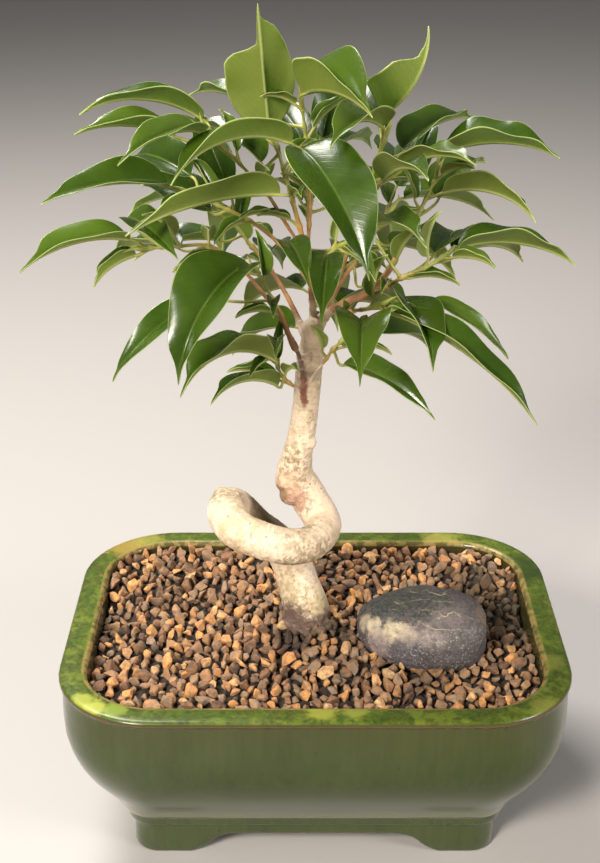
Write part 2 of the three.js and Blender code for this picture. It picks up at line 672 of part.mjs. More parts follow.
/** A blade: an arched strip of even thickness, folded up along its midrib. */
function makeBlade(spec) {
  const { base, tip } = spec;
  const chord = tip.clone().sub(base);
  const length = chord.length();
  const along = chord.clone().normalize();
  const faces = vec(spec.faces ?? [0, 0, 1]);
  const up = faces.clone().addScaledVector(along, -faces.dot(along)).normalize();
  const across = new THREE.Vector3().crossVectors(along, up);
  const rise = length * (spec.arch ?? LEAF_ARCH_SHARE) * 1.3;
  const widest = (length * LEAF_WIDTH_SHARE * (spec.wide ?? 1)) / 2;
  const fold = THREE.MathUtils.degToRad(spec.fold ?? LEAF_FOLD);
  const midrib = new THREE.CubicBezierCurve3(
    base,
    base.clone().addScaledVector(along, length * 0.3).addScaledVector(up, rise),
    base.clone().addScaledVector(along, length * 0.75).addScaledVector(up, rise),
    tip,
  );
  const rings = BLADE_STATIONS.map((t) => {
    const normal = new THREE.Vector3().crossVectors(across, midrib.getTangent(t)).normalize();
    const half = Math.max(widest * bladeOutline(t), PETIOLE_WIDTH / 2);
    return stripSection(midrib.getPoint(t), {
      across,
      normal,
      half: half * Math.cos(fold),
      lift: half * Math.sin(fold),
      thickness: LEAF_THICKNESS,
    });
  });
  return { solid: solidOf(loft(rings, UNDER_SIDES)), heel: midrib.getPoint(0.06), up };
}

/** A leaf with its stalk, which runs from the twig into the heel of the blade. */
function makeLeaf(spec, twigPoint) {
  const { solid, heel, up } = makeBlade(spec);
  const end = heel.addScaledVector(up, -LEAF_THICKNESS / 2);
  const stalk = new THREE.CatmullRomCurve3([twigPoint, twigPoint.clone().lerp(end, 0.5), end]);
  return solid.add(solidOf(sweep(stalk, () => PETIOLE_WIDTH / 2, { sides: STALK_SIDES, steps: 1 })));
}

function makeSpray(spray) {
  const { curve, bark } = limbLine(spray);
  const from = bark + CLEARANCE / curve.getLength();
  const solids = [limbPiece(spray, TWIG_SIDES, from, 1, spray.limb.length - spray.wood)];
  for (const spec of spray.leaves) {
    solids.push(makeLeaf(spec, curve.getPointAt(from + (1 - from) * Math.min(spec.at, 0.97))));
  }
  return joined(solids);
}

// ---------------------------------------------------------------- assembly

const bonsai = new THREE.Group();
bonsai.name = "bonsai";

const hole = trunkHole();
bonsai.add(meshOf("pot", makePot(), COLOURS.glaze));
bonsai.add(meshOf("drain_screen_left", makeScreen(-DRAIN_HOLE_X), COLOURS.screen));
bonsai.add(meshOf("drain_screen_right", makeScreen(DRAIN_HOLE_X), COLOURS.screen));
bonsai.add(meshOf("soil", makeSoil().subtract(hole), COLOURS.soil));
bonsai.add(meshOf("gravel", makeGravel(hole, makeStone(1.03)), COLOURS.gravel));
bonsai.add(meshOf("stone", makeStone(1), COLOURS.stone));
bonsai.add(meshOf("trunk", makeTrunk(SPRAYS.map(limbWood)), COLOURS.bark));
for (const spray of SPRAYS) {
  bonsai.add(meshOf(spray.name, makeSpray(spray), COLOURS.leaf));
}

export default bonsai;
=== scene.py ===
# %% [markdown]
# # A bonsai tree in a glazed pot
# The real object is a small weeping fig whose trunk was trained into one full turn of coil. It
# grows in a rectangular, green-glazed pot with bracket feet, under a dressing of crushed fired
# clay with one river stone. The imported model gives every piece its place and its size. Each piece
# here is a finer version of the solid that it stands for, made from the same lists.

import json
import math

import bmesh
import bpy
import numpy as np
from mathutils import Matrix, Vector, geometry, kdtree, noise

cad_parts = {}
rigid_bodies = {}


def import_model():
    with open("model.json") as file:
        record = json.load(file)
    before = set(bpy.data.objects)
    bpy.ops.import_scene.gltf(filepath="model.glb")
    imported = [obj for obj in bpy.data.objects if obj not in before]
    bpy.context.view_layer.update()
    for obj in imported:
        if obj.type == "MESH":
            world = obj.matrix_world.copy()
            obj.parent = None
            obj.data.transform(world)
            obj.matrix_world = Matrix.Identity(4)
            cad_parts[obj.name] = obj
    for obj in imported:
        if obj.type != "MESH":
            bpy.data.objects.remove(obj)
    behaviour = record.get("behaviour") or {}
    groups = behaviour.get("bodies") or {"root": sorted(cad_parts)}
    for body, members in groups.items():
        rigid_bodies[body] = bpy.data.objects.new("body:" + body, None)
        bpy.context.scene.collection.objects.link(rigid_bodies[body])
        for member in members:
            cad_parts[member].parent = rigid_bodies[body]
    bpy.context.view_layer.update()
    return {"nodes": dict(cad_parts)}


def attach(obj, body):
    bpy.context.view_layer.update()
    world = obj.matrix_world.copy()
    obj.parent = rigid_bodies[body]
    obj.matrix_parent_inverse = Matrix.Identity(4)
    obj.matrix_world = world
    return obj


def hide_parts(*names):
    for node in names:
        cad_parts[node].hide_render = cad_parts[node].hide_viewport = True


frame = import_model()
print("pieces in the packed model:", len(frame["nodes"]))

# %% [markdown]
# ## Camera, floor and light
# The camera stands a little above the crown and looks down at the pot, as the photograph was
# taken. The rim's outline gave its place and its lens: a real pot's rim is level and has square
# sides, so the way they close in fixes both. The floor is plain and pale. Soft light comes from
# large area lights, because a glazed pot and waxy leaves show their gloss only where they mirror
# something wide and bright.

# %% Camera and floor
camera = bpy.data.objects.new("camera", bpy.data.cameras.new("camera"))
camera.location = (-0.0045, -0.3928, 0.3004)
camera.rotation_euler = (math.radians(66), 0, 0)
camera.data.lens = 60.5
bpy.context.scene.collection.objects.link(camera)
bpy.context.scene.camera = camera


def node(tree, kind, inputs=None, **options):
    """Adds a shader or geometry node; a socket among its inputs is linked, and a value is set."""
    made = tree.nodes.new(kind)
    for option, value in options.items():
        setattr(made, option, value)
    for name, value in (inputs or {}).items():
        if isinstance(value, bpy.types.NodeSocket):
            tree.links.new(value, made.inputs[name])
        else:
            made.inputs[name].default_value = value
    return made


def new_finish(name, **sockets):
    """A material with one Principled BSDF, whose plain values are set on its own sockets."""
    finish = bpy.data.materials.new(name)
    finish.use_nodes = True
    tree = finish.node_tree
    shader = tree.nodes["Principled BSDF"]
    for socket, value in sockets.items():
        shader.inputs[socket.replace("_", " ")].default_value = value
    return finish, tree, shader


floor_mesh = bpy.data.meshes.new("floor")
floor_mesh.from_pydata([(-3, -3, 0), (3, -3, 0), (3, 3, 0), (-3, 3, 0)], [], [(0, 1, 2, 3)])
floor = bpy.data.objects.new("floor", floor_mesh)
bpy.context.scene.collection.objects.link(floor)
floor_paint, _, floor_shader = new_finish("pale_floor", Roughness=0.6)
floor_shader.inputs["Base Color"].default_value = (0.37, 0.352, 0.338, 1)
floor_mesh.materials.append(floor_paint)
print("floor:", [round(side, 2) for side in floor.dimensions])

# %% Softboxes and the room's light
# name, place, width and height in metres, power in watts, colour
SOFTBOXES = [
    ("key_softbox", (-0.55, -0.9, 0.75), (0.3, 0.3), 26.5, (1, 0.94, 0.84)),
    ("fill_softbox", (0.85, -0.5, 0.45), (0.3, 0.4), 8, (1, 0.96, 0.94)),
    ("top_softbox", (-0.35, 0.36, 0.95), (0.5, 0.3), 16, (1, 0.96, 0.92)),
]
for name, place, (width, height), watts, colour in SOFTBOXES:
    lamp = bpy.data.lights.new(name, "AREA")
    lamp.shape, lamp.size, lamp.size_y = "RECTANGLE", width, height
    lamp.energy, lamp.color = watts, colour
    softbox = bpy.data.objects.new(name, lamp)
    softbox.location = place
    aim = Vector((0, 0, 0.12)) - softbox.location
    softbox.rotation_euler = aim.to_track_quat("-Z", "Y").to_euler()
    bpy.context.scene.collection.objects.link(softbox)

world = bpy.data.worlds.new("room")
world.use_nodes = True
world.node_tree.nodes["Background"].inputs["Color"].default_value = (0.8, 0.79, 0.78, 1)
world.node_tree.nodes["Background"].inputs["Strength"].default_value = 0.2
bpy.context.scene.world = world
bpy.context.scene.view_settings.view_transform = "Standard"
print("softboxes:", len(SOFTBOXES))

# %% [markdown]
# ## Measures and helpers
# Potters and growers measure in millimetres, so the lists do too, and one helper turns points into
# a mesh in metres. Trunk, limbs, twigs and stalks all follow a smooth curve through a few listed
# points. The curve below is the same centripetal Catmull-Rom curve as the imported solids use, so
# that a fine limb lies where its solid is.

# %% Pieces in millimetres
MM = 0.001


def new_piece(name, points, faces, finishes, smooth=True, kinds=None, notes=()):
    """A mesh object at the origin; `notes` are (name, type, domain, values) kept for the finishes."""
    mesh = bpy.data.meshes.new(name)
    mesh.from_pydata((np.asarray(points) * MM).tolist(), [], faces)
    for finish in finishes:
        mesh.materials.append(finish)
    mesh.polygons.foreach_set("use_smooth", [smooth] * len(mesh.polygons))
    if kinds is not None:
        mesh.polygons.foreach_set("material_index", kinds)
    for note, kind, domain, values in notes:
        layer = mesh.attributes.new(note, kind, domain)
        field = "vector" if kind == "FLOAT_VECTOR" else "value"
        layer.data.foreach_set(field, np.asarray(values, np.float32).ravel())
    mesh.validate()
    piece = bpy.data.objects.new(name, mesh)
    bpy.context.scene.collection.objects.link(piece)
    return piece


def stand_in(piece, slot, *nodes):
    """The piece moves with the tree and stands for the listed solids, which are hidden; slot is not used."""
    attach(piece, "root")
    if nodes:
        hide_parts(*nodes)
    print(piece.name, "-", len(piece.data.polygons), "faces, for", ", ".join(nodes) or "no solid")


def skin(rings, first=0):
    """Outward faces through rings of equally many points; each turns anticlockwise seen from the last."""
    count, faces = len(rings[0]), []
    for start in range(first, first + (len(rings) - 1) * count, count):
        for i in range(count):
            a, b = start + i, start + (i + 1) % count
            faces.append((a, b, b + count, a + count))
    return faces


def ends(rings, first=0):
    """The two faces that close such a skin."""
    count = len(rings[0])
    last = first + (len(rings) - 1) * count
    return [tuple(range(first + count - 1, first - 1, -1)), tuple(range(last, last + count))]


# %% Smooth lines
class SmoothLine:
    """A centripetal Catmull-Rom curve through points, asked by the share of its length."""

    def __init__(self, points, fineness=40):
        points = np.array(points, float)
        ends_added = np.vstack([2 * points[0] - points[1], points, 2 * points[-1] - points[-2]])
        samples = [points[0]]
        for p0, p1, p2, p3 in zip(ends_added, ends_added[1:], ends_added[2:], ends_added[3:]):
            d0, d1, d2 = (np.linalg.norm(b - a) ** 0.5 for a, b in ((p0, p1), (p1, p2), (p2, p3)))
            leave = ((p1 - p0) / d0 - (p2 - p0) / (d0 + d1) + (p2 - p1) / d1) * d1
            arrive = ((p2 - p1) / d1 - (p3 - p1) / (d1 + d2) + (p3 - p2) / d2) * d1
            for t in np.linspace(0, 1, fineness + 1)[1:]:
                square, cube = t * t, t**3
                samples.append(
                    p1
                    + leave * t
                    + (3 * (p2 - p1) - 2 * leave - arrive) * square
                    + (2 * (p1 - p2) + leave + arrive) * cube
                )
        self.samples = np.array(samples)
        steps = np.linalg.norm(np.diff(self.samples, axis=0), axis=1)
        self.reach = np.concatenate([[0], np.cumsum(steps)])
        self.length = self.reach[-1]
        self.knots = self.reach[::fineness] / self.length  # where the listed points lie
        self.turn()

    def turn(self):
        """Two directions across the line at each sample, carried along it without a twist."""
        self.ahead = np.gradient(self.samples, axis=0)
        self.ahead /= np.linalg.norm(self.ahead, axis=1)[:, None]
        side = np.cross(self.ahead[0], (0.3, 0.2, 0.9))
        sides = []
        for ahead in self.ahead:
            side = side - ahead * (side @ ahead)
            side = side / np.linalg.norm(side)
            sides.append(side)
        self.side = np.array(sides)
        self.other = np.cross(self.ahead, self.side)

    def along(self, share, field="samples"):
        values = getattr(self, field)
        reach = np.asarray(share) * self.length
        return np.stack([np.interp(reach, self.reach, values[:, k]) for k in range(3)], -1)


def tube(line, radii, shares, sides, rounded=(True, True)):
    """Rings of a round bar along a line, drawn in to a small rounded end where asked."""
    shares, radii = np.asarray(shares, float), np.asarray(radii, float)
    angles = np.arange(sides) * 2 * math.pi / sides
    middle, across, over = (line.along(shares, field) for field in ("samples", "side", "other"))
    rings = [
        m + r * (np.cos(angles)[:, None] * a + np.sin(angles)[:, None] * o)
        for m, r, a, o in zip(middle, radii, across, over)
    ]
    for at_end, order in ((rounded[0], 0), (rounded[1], -1)):
        if not at_end:
            continue
        sign = -1 if order == 0 else 1
        ahead = line.along(shares[order], "ahead")
        caps = []
        for bend in (30, 55, 75, 88):
            shrink, push = math.cos(math.radians(bend)), math.sin(math.radians(bend))
            out = sign * ahead * radii[order] * push * 0.8
            caps.append(middle[order] + (rings[order] - middle[order]) * shrink + out)
        rings = caps[::-1] + rings if order == 0 else rings + caps
    return rings


print("helpers ready")

# %% [markdown]
# ## Effects that several finishes share
# A shader node group is built once and placed in each material with its own values. Cloudy
# mottling is on glaze, bark, stone and leaves alike, only at other scales. Specks are pits in the
# glaze, flecks of algae on the bark and pale grains in the stone. Both put out a plain mask,
# and each material decides what colour or relief that mask brings.

# %% Shader helpers and the shared groups


def calc(tree, operation, a, b=0.5, c=0.5, clamp=False):
    return node(tree, "ShaderNodeMath", {0: a, 1: b, 2: c}, operation=operation, use_clamp=clamp).outputs[0]


def fade(tree, value, low, high):
    """0 below `low`, 1 above `high`, with a soft passage between them."""
    inputs = {"Value": value, "From Min": low, "From Max": high}
    return node(tree, "ShaderNodeMapRange", inputs, interpolation_type="SMOOTHSTEP").outputs[0]


def blend(tree, factor, a, b, blend_type="MIX"):
    inputs = {0: factor, 6: a, 7: b}
    return node(tree, "ShaderNodeMix", inputs, data_type="RGBA", blend_type=blend_type).outputs[2]


def level(tree, factor, low, high):
    """A number between two values."""
    return node(tree, "ShaderNodeMix", {0: factor, 2: low, 3: high}, data_type="FLOAT").outputs[0]


def noise_of(tree, vector, scale, detail=4, roughness=0.55):
    inputs = {"Vector": vector, "Scale": scale, "Detail": detail, "Roughness": roughness}
    return node(tree, "ShaderNodeTexNoise", inputs).outputs["Fac"]


def note_of(tree, name, output="Fac"):
    return node(tree, "ShaderNodeAttribute", attribute_name=name).outputs[output]


def place_of(tree, centre=(0, 0, 0), stretch=(1, 1, 1)):
    """Object coordinates, centred on a place in millimetres."""
    coords = node(tree, "ShaderNodeTexCoord").outputs["Object"]
    shift = [-c * MM * s for c, s in zip(centre, stretch)]
    return node(tree, "ShaderNodeMapping", {"Vector": coords, "Location": shift, "Scale": stretch}).outputs[0]


def bump(tree, height, distance, normal=None, strength=1):
    """A relief whose full height is `distance` millimetres."""
    inputs = {"Height": height, "Distance": distance * MM, "Strength": strength}
    if normal:
        inputs["Normal"] = normal
    return node(tree, "ShaderNodeBump", inputs).outputs[0]


def new_group(name, inputs, outputs):
    group = bpy.data.node_groups.new(name, "ShaderNodeTree")
    for socket, kind, value in inputs:
        made = group.interface.new_socket(socket, in_out="INPUT", socket_type=kind)
        if value is not None:
            made.default_value = value
    for socket, kind in outputs:
        group.interface.new_socket(socket, in_out="OUTPUT", socket_type=kind)
    return group, group.nodes.new("NodeGroupInput").outputs, group.nodes.new("NodeGroupOutput").inputs


mottling, given, result = new_group(
    "mottling",
    [("Vector", "NodeSocketVector", None), ("Scale", "NodeSocketFloat", 100), ("Softness", "NodeSocketFloat", 0.2)],
    [("Mask", "NodeSocketFloat")],
)
clouds = noise_of(mottling, given["Vector"], given["Scale"], 6, 0.6)
low = calc(mottling, "SUBTRACT", 0.5, given["Softness"])
high = calc(mottling, "ADD", 0.5, given["Softness"])
mottling.links.new(fade(mottling, clouds, low, high), result["Mask"])

specks, given, result = new_group(
    "specks",
    [
        ("Vector", "NodeSocketVector", None),
        ("Scale", "NodeSocketFloat", 300),
        ("Size", "NodeSocketFloat", 0.3),
        ("Share", "NodeSocketFloat", 0.3),
    ],
    [("Mask", "NodeSocketFloat")],
)
cells = node(specks, "ShaderNodeTexVoronoi", {"Vector": given["Vector"], "Scale": given["Scale"]}).outputs
inside = fade(specks, cells["Distance"], given["Size"], calc(specks, "MULTIPLY", given["Size"], 0.4))
pick = node(specks, "ShaderNodeSeparateColor", {"Color": cells["Color"]}).outputs["Red"]
chosen = calc(specks, "LESS_THAN", pick, given["Share"])
specks.links.new(calc(specks, "MULTIPLY", inside, chosen), result["Mask"])

soft_spot, given, result = new_group(
    "soft_spot",
    [
        ("Vector", "NodeSocketVector", None),
        ("Centre", "NodeSocketVector", None),
        ("Reach", "NodeSocketFloat", 0.005),
        ("Scale", "NodeSocketFloat", 300),
    ],
    [("Mask", "NodeSocketFloat")],
)
shift = node(soft_spot, "ShaderNodeVectorMath", {0: given["Vector"], 1: given["Centre"]}, operation="SUBTRACT").outputs[0]
length = node(soft_spot, "ShaderNodeVectorMath", {0: shift}, operation="LENGTH").outputs["Value"]
rough_edge = calc(soft_spot, "MULTIPLY_ADD", noise_of(soft_spot, given["Vector"], given["Scale"], 4, 0.65), 1.6, 0.2)
near = calc(soft_spot, "DIVIDE", calc(soft_spot, "MULTIPLY", length, rough_edge), given["Reach"])
soft_spot.links.new(fade(soft_spot, near, 1.25, 0.55), result["Mask"])


def effect(tree, group, **inputs):
    """One of the shared groups, placed with its own values."""
    made = node(tree, "ShaderNodeGroup", node_tree=group)
    for name, value in inputs.items():
        if isinstance(value, bpy.types.NodeSocket):
            tree.links.new(value, made.inputs[name])
        else:
            made.inputs[name].default_value = value
    return made.outputs["Mask"]


def stained(tree, colour, place, spots, scale=300, within=1.0):
    """Lays soft spots over a colour: each has a place and reach in millimetres, a colour and a strength."""
    for centre, reach, stain, strength in spots:
        mask = effect(tree, soft_spot, Vector=place, Centre=Vector(centre) * MM, Reach=reach * MM, Scale=scale)
        mask = calc(tree, "MULTIPLY", mask, within)
        colour = blend(tree, calc(tree, "MULTIPLY", mask, strength), colour, (*stain, 1))
    return colour


print("shared effects:", mottling.name, specks.name, soft_spot.name)

# %% [markdown]
# ## The pot
# It is one piece of stoneware, pressed in a mould: a flat rim, a belly that rounds in to a base
# band, and four bracket feet with cloud curves between them. The form is a stack of rounded
# rectangles, so it is lofted ring by ring. Every ring has its points at the same places along the
# straight sides, which lets the lowest rings follow the cloud curves with no cutting at all.

# %% The pot's plan and the curves between its feet
POT_LENGTH, POT_DEPTH, POT_HEIGHT = 152, 114, 62
FOOT_HEIGHT = 7
CORNER_POINTS = 14
LONG_SIDE = np.linspace(-38, 38, 77)
SHORT_SIDE = np.linspace(-20, 20, 41)


def cloud_curve(place, half_top, half_bottom):
    """How high the apron's lower edge is at a place along a side, from the side's middle."""
    shoulder = (half_top + half_bottom) / 2
    t = np.linspace(0, 1, 30)[:, None]
    quadratic = lambda a, b, c: (1 - t) ** 2 * a + 2 * t * (1 - t) * b + t**2 * c
    low = quadratic(np.array((half_bottom, 0)), np.array((shoulder + 2, 1.5)), np.array((shoulder, FOOT_HEIGHT * 0.55)))
    high = quadratic(np.array((shoulder, FOOT_HEIGHT * 0.55)), np.array((shoulder - 3, FOOT_HEIGHT)), np.array((half_top - 4, FOOT_HEIGHT)))
    curve = np.vstack([low, high[1:]])[::-1]
    return np.interp(np.abs(place), curve[:, 0], curve[:, 1])


LONG_RISE, SHORT_RISE = cloud_curve(LONG_SIDE, 26, 38), cloud_curve(SHORT_SIDE, 11, 20)
NO_RISE = np.zeros(CORNER_POINTS)
RISE = np.concatenate([LONG_RISE, NO_RISE, SHORT_RISE, NO_RISE] * 2)


def plan(inset, corner):
    """The pot's outline at one level, anticlockwise from the front's left end."""
    half_x, half_y = POT_LENGTH / 2 - inset, POT_DEPTH / 2 - inset
    turns = np.linspace(0, math.pi / 2, CORNER_POINTS)
    points = []
    for quarter in range(4):
        turned = turns + (quarter - 1) * math.pi / 2
        side_x, side_y = ((1, -1), (1, 1), (-1, 1), (-1, -1))[quarter]
        arc = np.stack([side_x * (half_x - corner) + corner * np.cos(turned), side_y * (half_y - corner) + corner * np.sin(turned)], 1)
        if quarter % 2 == 0:
            sign = 1 if quarter == 0 else -1
            straight = np.stack([sign * LONG_SIDE, np.full(len(LONG_SIDE), -sign * half_y)], 1)
        else:
            sign = 1 if quarter == 1 else -1
            straight = np.stack([np.full(len(SHORT_SIDE), sign * half_x), sign * SHORT_SIDE], 1)
        points += [straight, arc]
    return np.vstack(points)


def pot_ring(z, inset, corner, lift=0):
    """One ring; `lift` is how much of the cloud curve's rise it takes."""
    outline = plan(inset, corner)
    return np.column_stack([outline, z + lift * RISE])


print("points in each ring of the pot:", len(RISE))

# %% The pot's rings
# height, inset from the rim's edge, corner radius, and how bare the glaze runs there (0 to 1)
FOOT_OUTSIDE = [(0, 20.9, 7.5, 0.5), (0.25, 20.4, 7.8, 0.3), (0.8, 20.2, 8, 0), (4, 20.2, 8, 0), (8, 20.2, 8, 0)]
BELLY = [
    (10.6, 20.2, 8, 0),
    (11.1, 20.0, 8.1, 0),
    (11.4, 19.2, 8.5, 0.4),
    (11.7, 18.5, 9, 0.5),
    (12.1, 18.4, 9, 0),
    (13.9, 18.4, 9, 0),
    (14.3, 18.3, 9.2, 0),
    (14.7, 17.8, 9.6, 0),
    (15.2, 17.2, 10, 0.2),
    (16.3, 16.5, 10.8, 0),
    (18, 15.5, 12, 0),
    (20.5, 13.9, 14, 0),
    (23, 12.1, 16, 0),
    (27, 9.2, 18.2, 0),
    (31, 6.6, 20, 0),
    (35.5, 4.3, 21.7, 0),
    (40, 2.7, 23, 0),
    (45, 1.6, 24.2, 0),
    (50, 1, 26.6, 0),
    (55.5, 0.88, 27.8, 0),
    (58.4, 0.84, 28.3, 0),
    (59.2, 0.8, 28.4, 0),
    (59.6, 0.68, 28.6, 0),
    (59.9, 0.35, 29, 0.2),
    (60.2, 0.1, 29.4, 0.55),
    (60.45, 0.02, 29.6, 0.95),
    (60.75, 0, 29.7, 0.5),
    (61.2, 0.1, 29.6, 0.1),
    (61.6, 0.45, 29.3, 0),
    (61.8, 0.8, 28.9, 0),
    (61.92, 1.4, 28.3, 0),
    (61.97, 2.5, 27.4, 0),
]
RIM_AND_INSIDE = [
    (62, 4.2, 25.6, 0),
    (61.95, 6.1, 23.8, 0),
    (61.8, 7.1, 22.8, 0),
    (61.5, 7.75, 22, 0),
    (60.9, 8.15, 21.5, 0),
    (60, 8.35, 21, 0),
    (57, 8.8, 20, 0),
    (42, 10, 19, 0),
    (31, 14.1, 17, 0),
    (24, 18.7, 14, 0),
    (19, 22.1, 11, 0),
    (16.6, 24.4, 10, 0),
    (16, 26, 9, 0),
]
UNDERSIDE_Z = 8.2
pot_rings = [pot_ring(UNDERSIDE_Z, 28.2, 4), pot_ring(7.6, 28.2, 4, 0.06), pot_ring(0.3, 28.2, 4, 1), pot_ring(0, 27.8, 4.2, 1)]
bareness = [0.5, 0.5, 0.8, 0.9]
for z, inset, corner, bare in FOOT_OUTSIDE:
    pot_rings.append(pot_ring(z, inset, corner, (11 - z) / 11))
    bareness.append(bare)
for z, inset, corner, bare in BELLY + RIM_AND_INSIDE:
    pot_rings.append(pot_ring(z, inset, corner))
    bareness.append(bare)
print("rings in the pot:", len(pot_rings))

# %% [markdown]
# The two drainage holes go through the flat floor. Instead of cutting them, the floor's two faces
# are filled in round them: a tessellator takes an outline with holes and returns triangles.

# %% The pot's mesh, with its drainage holes
DRAIN_HOLES = [(-26, 0), (26, 0)]
DRAIN_HOLE_RADIUS = 5.5
hole_turns = np.arange(32) * 2 * math.pi / 32
pot_points = np.vstack(pot_rings)
pot_faces = skin(pot_rings)
pot_bare = np.repeat(bareness, len(RISE))
pot_inner, pot_lip = np.zeros(len(pot_points)), np.zeros(len(pot_points))
pot_inner[(len(pot_rings) - 10) * len(RISE) :] = 1
pot_lip[(len(pot_rings) - 11) * len(RISE) : (len(pot_rings) - 8) * len(RISE)] = 1
first_ring = np.arange(len(RISE))
last_ring = first_ring + (len(pot_rings) - 1) * len(RISE)
hole_rings = {}
for z in (UNDERSIDE_Z, 16):
    for x, y in DRAIN_HOLES:
        circle = np.column_stack([x + DRAIN_HOLE_RADIUS * np.cos(hole_turns), y + DRAIN_HOLE_RADIUS * np.sin(hole_turns), np.full(32, z)])
        hole_rings[z, x] = np.arange(32) + len(pot_points)
        pot_points = np.vstack([pot_points, circle])
        pot_bare = np.concatenate([pot_bare, np.full(32, 0.5)])
        pot_inner, pot_lip = np.append(pot_inner, np.ones(32)), np.append(pot_lip, np.zeros(32))
for z, outline, up in ((UNDERSIDE_Z, first_ring, -1), (16, last_ring, 1)):
    loops = [outline] + [hole_rings[z, x] for x, _ in DRAIN_HOLES]
    numbers = np.concatenate(loops)
    for corners in geometry.tessellate_polygon([[Vector(pot_points[i]) for i in loop] for loop in loops]):
        a, b, c = (int(numbers[i]) for i in corners)
        normal = np.cross(pot_points[b] - pot_points[a], pot_points[c] - pot_points[a])[2]
        pot_faces.append((a, b, c) if normal * up > 0 else (a, c, b))
for x, _ in DRAIN_HOLES:
    below, above = hole_rings[UNDERSIDE_Z, x], hole_rings[16, x]
    for i in range(32):
        j = (i + 1) % 32
        pot_faces.append((below[j], below[i], above[i], above[j]))

# %% [markdown]
# ## The glaze
# Two things make a green studio glaze look real. It pools and breaks: on the flat rim it lies thick
# and curdles into yellow-green and dark green clouds, and it draws back from every sharp edge, where
# the clay shows through as a thin brown line. And it is glass: a clear coat over the colour mirrors
# the room in soft bands, and is glassiest near the base. A paler band low on the belly is a painted
# reflection of the floor, laid into the colour.
# The rings above noted how bare each edge is, and the finish reads that note.

# %% The glaze
glaze, tree, shader = new_finish("green_glaze", Specular_IOR_Level=0.24, Coat_Roughness=0.13)
place = place_of(tree)
height = node(tree, "ShaderNodeSeparateXYZ", {"Vector": place}).outputs["Z"]
runs = effect(tree, mottling, Vector=place_of(tree, stretch=(1, 1, 0.12)), Scale=230, Softness=0.24)
clouds = effect(tree, mottling, Vector=place, Scale=42, Softness=0.2)
body = blend(tree, clouds, (0.026, 0.041, 0.008, 1), (0.037, 0.052, 0.01, 1))
body = blend(tree, calc(tree, "MULTIPLY", runs, 0.45), body, (0.02, 0.028, 0.005, 1))
streaks = effect(tree, mottling, Vector=place_of(tree, stretch=(1, 1, 0.06)), Scale=700, Softness=0.2)
body = blend(tree, calc(tree, "MULTIPLY", streaks, 0.22), body, (0.056, 0.066, 0.014, 1))
body = blend(tree, calc(tree, "MULTIPLY", fade(tree, height, 44 * MM, 60 * MM), 0.25), body, (0.055, 0.042, 0.009, 1))
# painted reflection: a paler band low on the belly stands in for the bright floor that the glaze mirrors there
painted_reflection_band = calc(tree, "MULTIPLY", fade(tree, height, 23 * MM, 15.5 * MM), fade(tree, height, 13.8 * MM, 14.8 * MM))
body = blend(tree, calc(tree, "MULTIPLY", painted_reflection_band, 0.7), body, (0.15, 0.15, 0.075, 1))
curdle = effect(tree, mottling, Vector=place, Scale=120, Softness=0.08)
flecks = effect(tree, mottling, Vector=place, Scale=380, Softness=0.07)
rim_colour = blend(tree, curdle, (0.036, 0.07, 0.006, 1), (0.09, 0.125, 0.013, 1))
rim_colour = blend(tree, calc(tree, "MULTIPLY", flecks, 0.7), rim_colour, (0.026, 0.038, 0.006, 1))
motes = effect(tree, mottling, Vector=place, Scale=900, Softness=0.1)
rim_colour = blend(tree, calc(tree, "MULTIPLY", motes, 0.16), rim_colour, (0.22, 0.22, 0.05, 1))
# place, reach, colour, strength: where the glaze lies thickest
POOLS = [
    ((-66.5, -46, 62), 3.8, (0.3, 0.33, 0.045), 0.75),
    ((-62.5, -49.5, 62), 3.6, (0.34, 0.36, 0.06), 0.75),
    ((-57, -50.5, 62), 3.5, (0.2, 0.26, 0.035), 0.7),
    ((2, -51, 62), 4.5, (0.3, 0.3, 0.045), 0.7),
    ((11, -51, 62), 4, (0.26, 0.28, 0.045), 0.65),
    ((-64, 46, 62), 7, (0.32, 0.22, 0.05), 0.7),
    ((-57, 51, 62), 5, (0.27, 0.25, 0.05), 0.6),
    ((44, 51, 62), 6, (0.3, 0.28, 0.06), 0.55),
    ((70, 30, 62), 9, (0.02, 0.035, 0.008), 0.8),
    ((69.5, -26, 62), 5, (0.16, 0.16, 0.03), 0.5),
    ((66, -49, 62), 5, (0.22, 0.22, 0.045), 0.5),
]
rim_colour = stained(tree, rim_colour, place, POOLS, 400)
colour = blend(tree, fade(tree, height, 60.9 * MM, 61.7 * MM), body, rim_colour)
# painted shade: the inside wall is made nearly black, for the shade that falls inside the pot
colour = blend(tree, calc(tree, "MULTIPLY", note_of(tree, "inner"), 0.85), colour, (0.035, 0.028, 0.01, 1))
worn = calc(tree, "MULTIPLY", fade(tree, note_of(tree, "lip"), 0.2, 0.8), calc(tree, "ADD", calc(tree, "MULTIPLY", flecks, 0.6), 0.2))
colour = blend(tree, worn, colour, (0.26, 0.19, 0.06, 1))
pits = effect(tree, specks, Vector=place, Scale=170, Size=0.12, Share=0.1)
colour = blend(tree, calc(tree, "MULTIPLY", pits, 0.5), colour, (0.02, 0.022, 0.008, 1))
ragged = calc(tree, "MULTIPLY_ADD", noise_of(tree, place, 420, 3), 0.9, -0.42)
bare = fade(tree, calc(tree, "ADD", note_of(tree, "bare"), ragged), 0.42, 0.85)
colour = blend(tree, bare, colour, (0.1, 0.042, 0.012, 1))
tree.links.new(colour, shader.inputs["Base Color"])
gloss = level(tree, fade(tree, height, 60 * MM, 61.5 * MM), level(tree, clouds, 0.16, 0.24), 0.34)
tree.links.new(level(tree, bare, gloss, 0.55), shader.inputs["Roughness"])
glassy = level(tree, fade(tree, height, 34 * MM, 14 * MM), 0.4, 1)
tree.links.new(level(tree, fade(tree, height, 61 * MM, 61.8 * MM), glassy, 0.05), shader.inputs["Coat Weight"])
relief = calc(tree, "SUBTRACT", calc(tree, "MULTIPLY", noise_of(tree, place, 60, 5, 0.62), 0.8), calc(tree, "MULTIPLY", pits, 0.4))
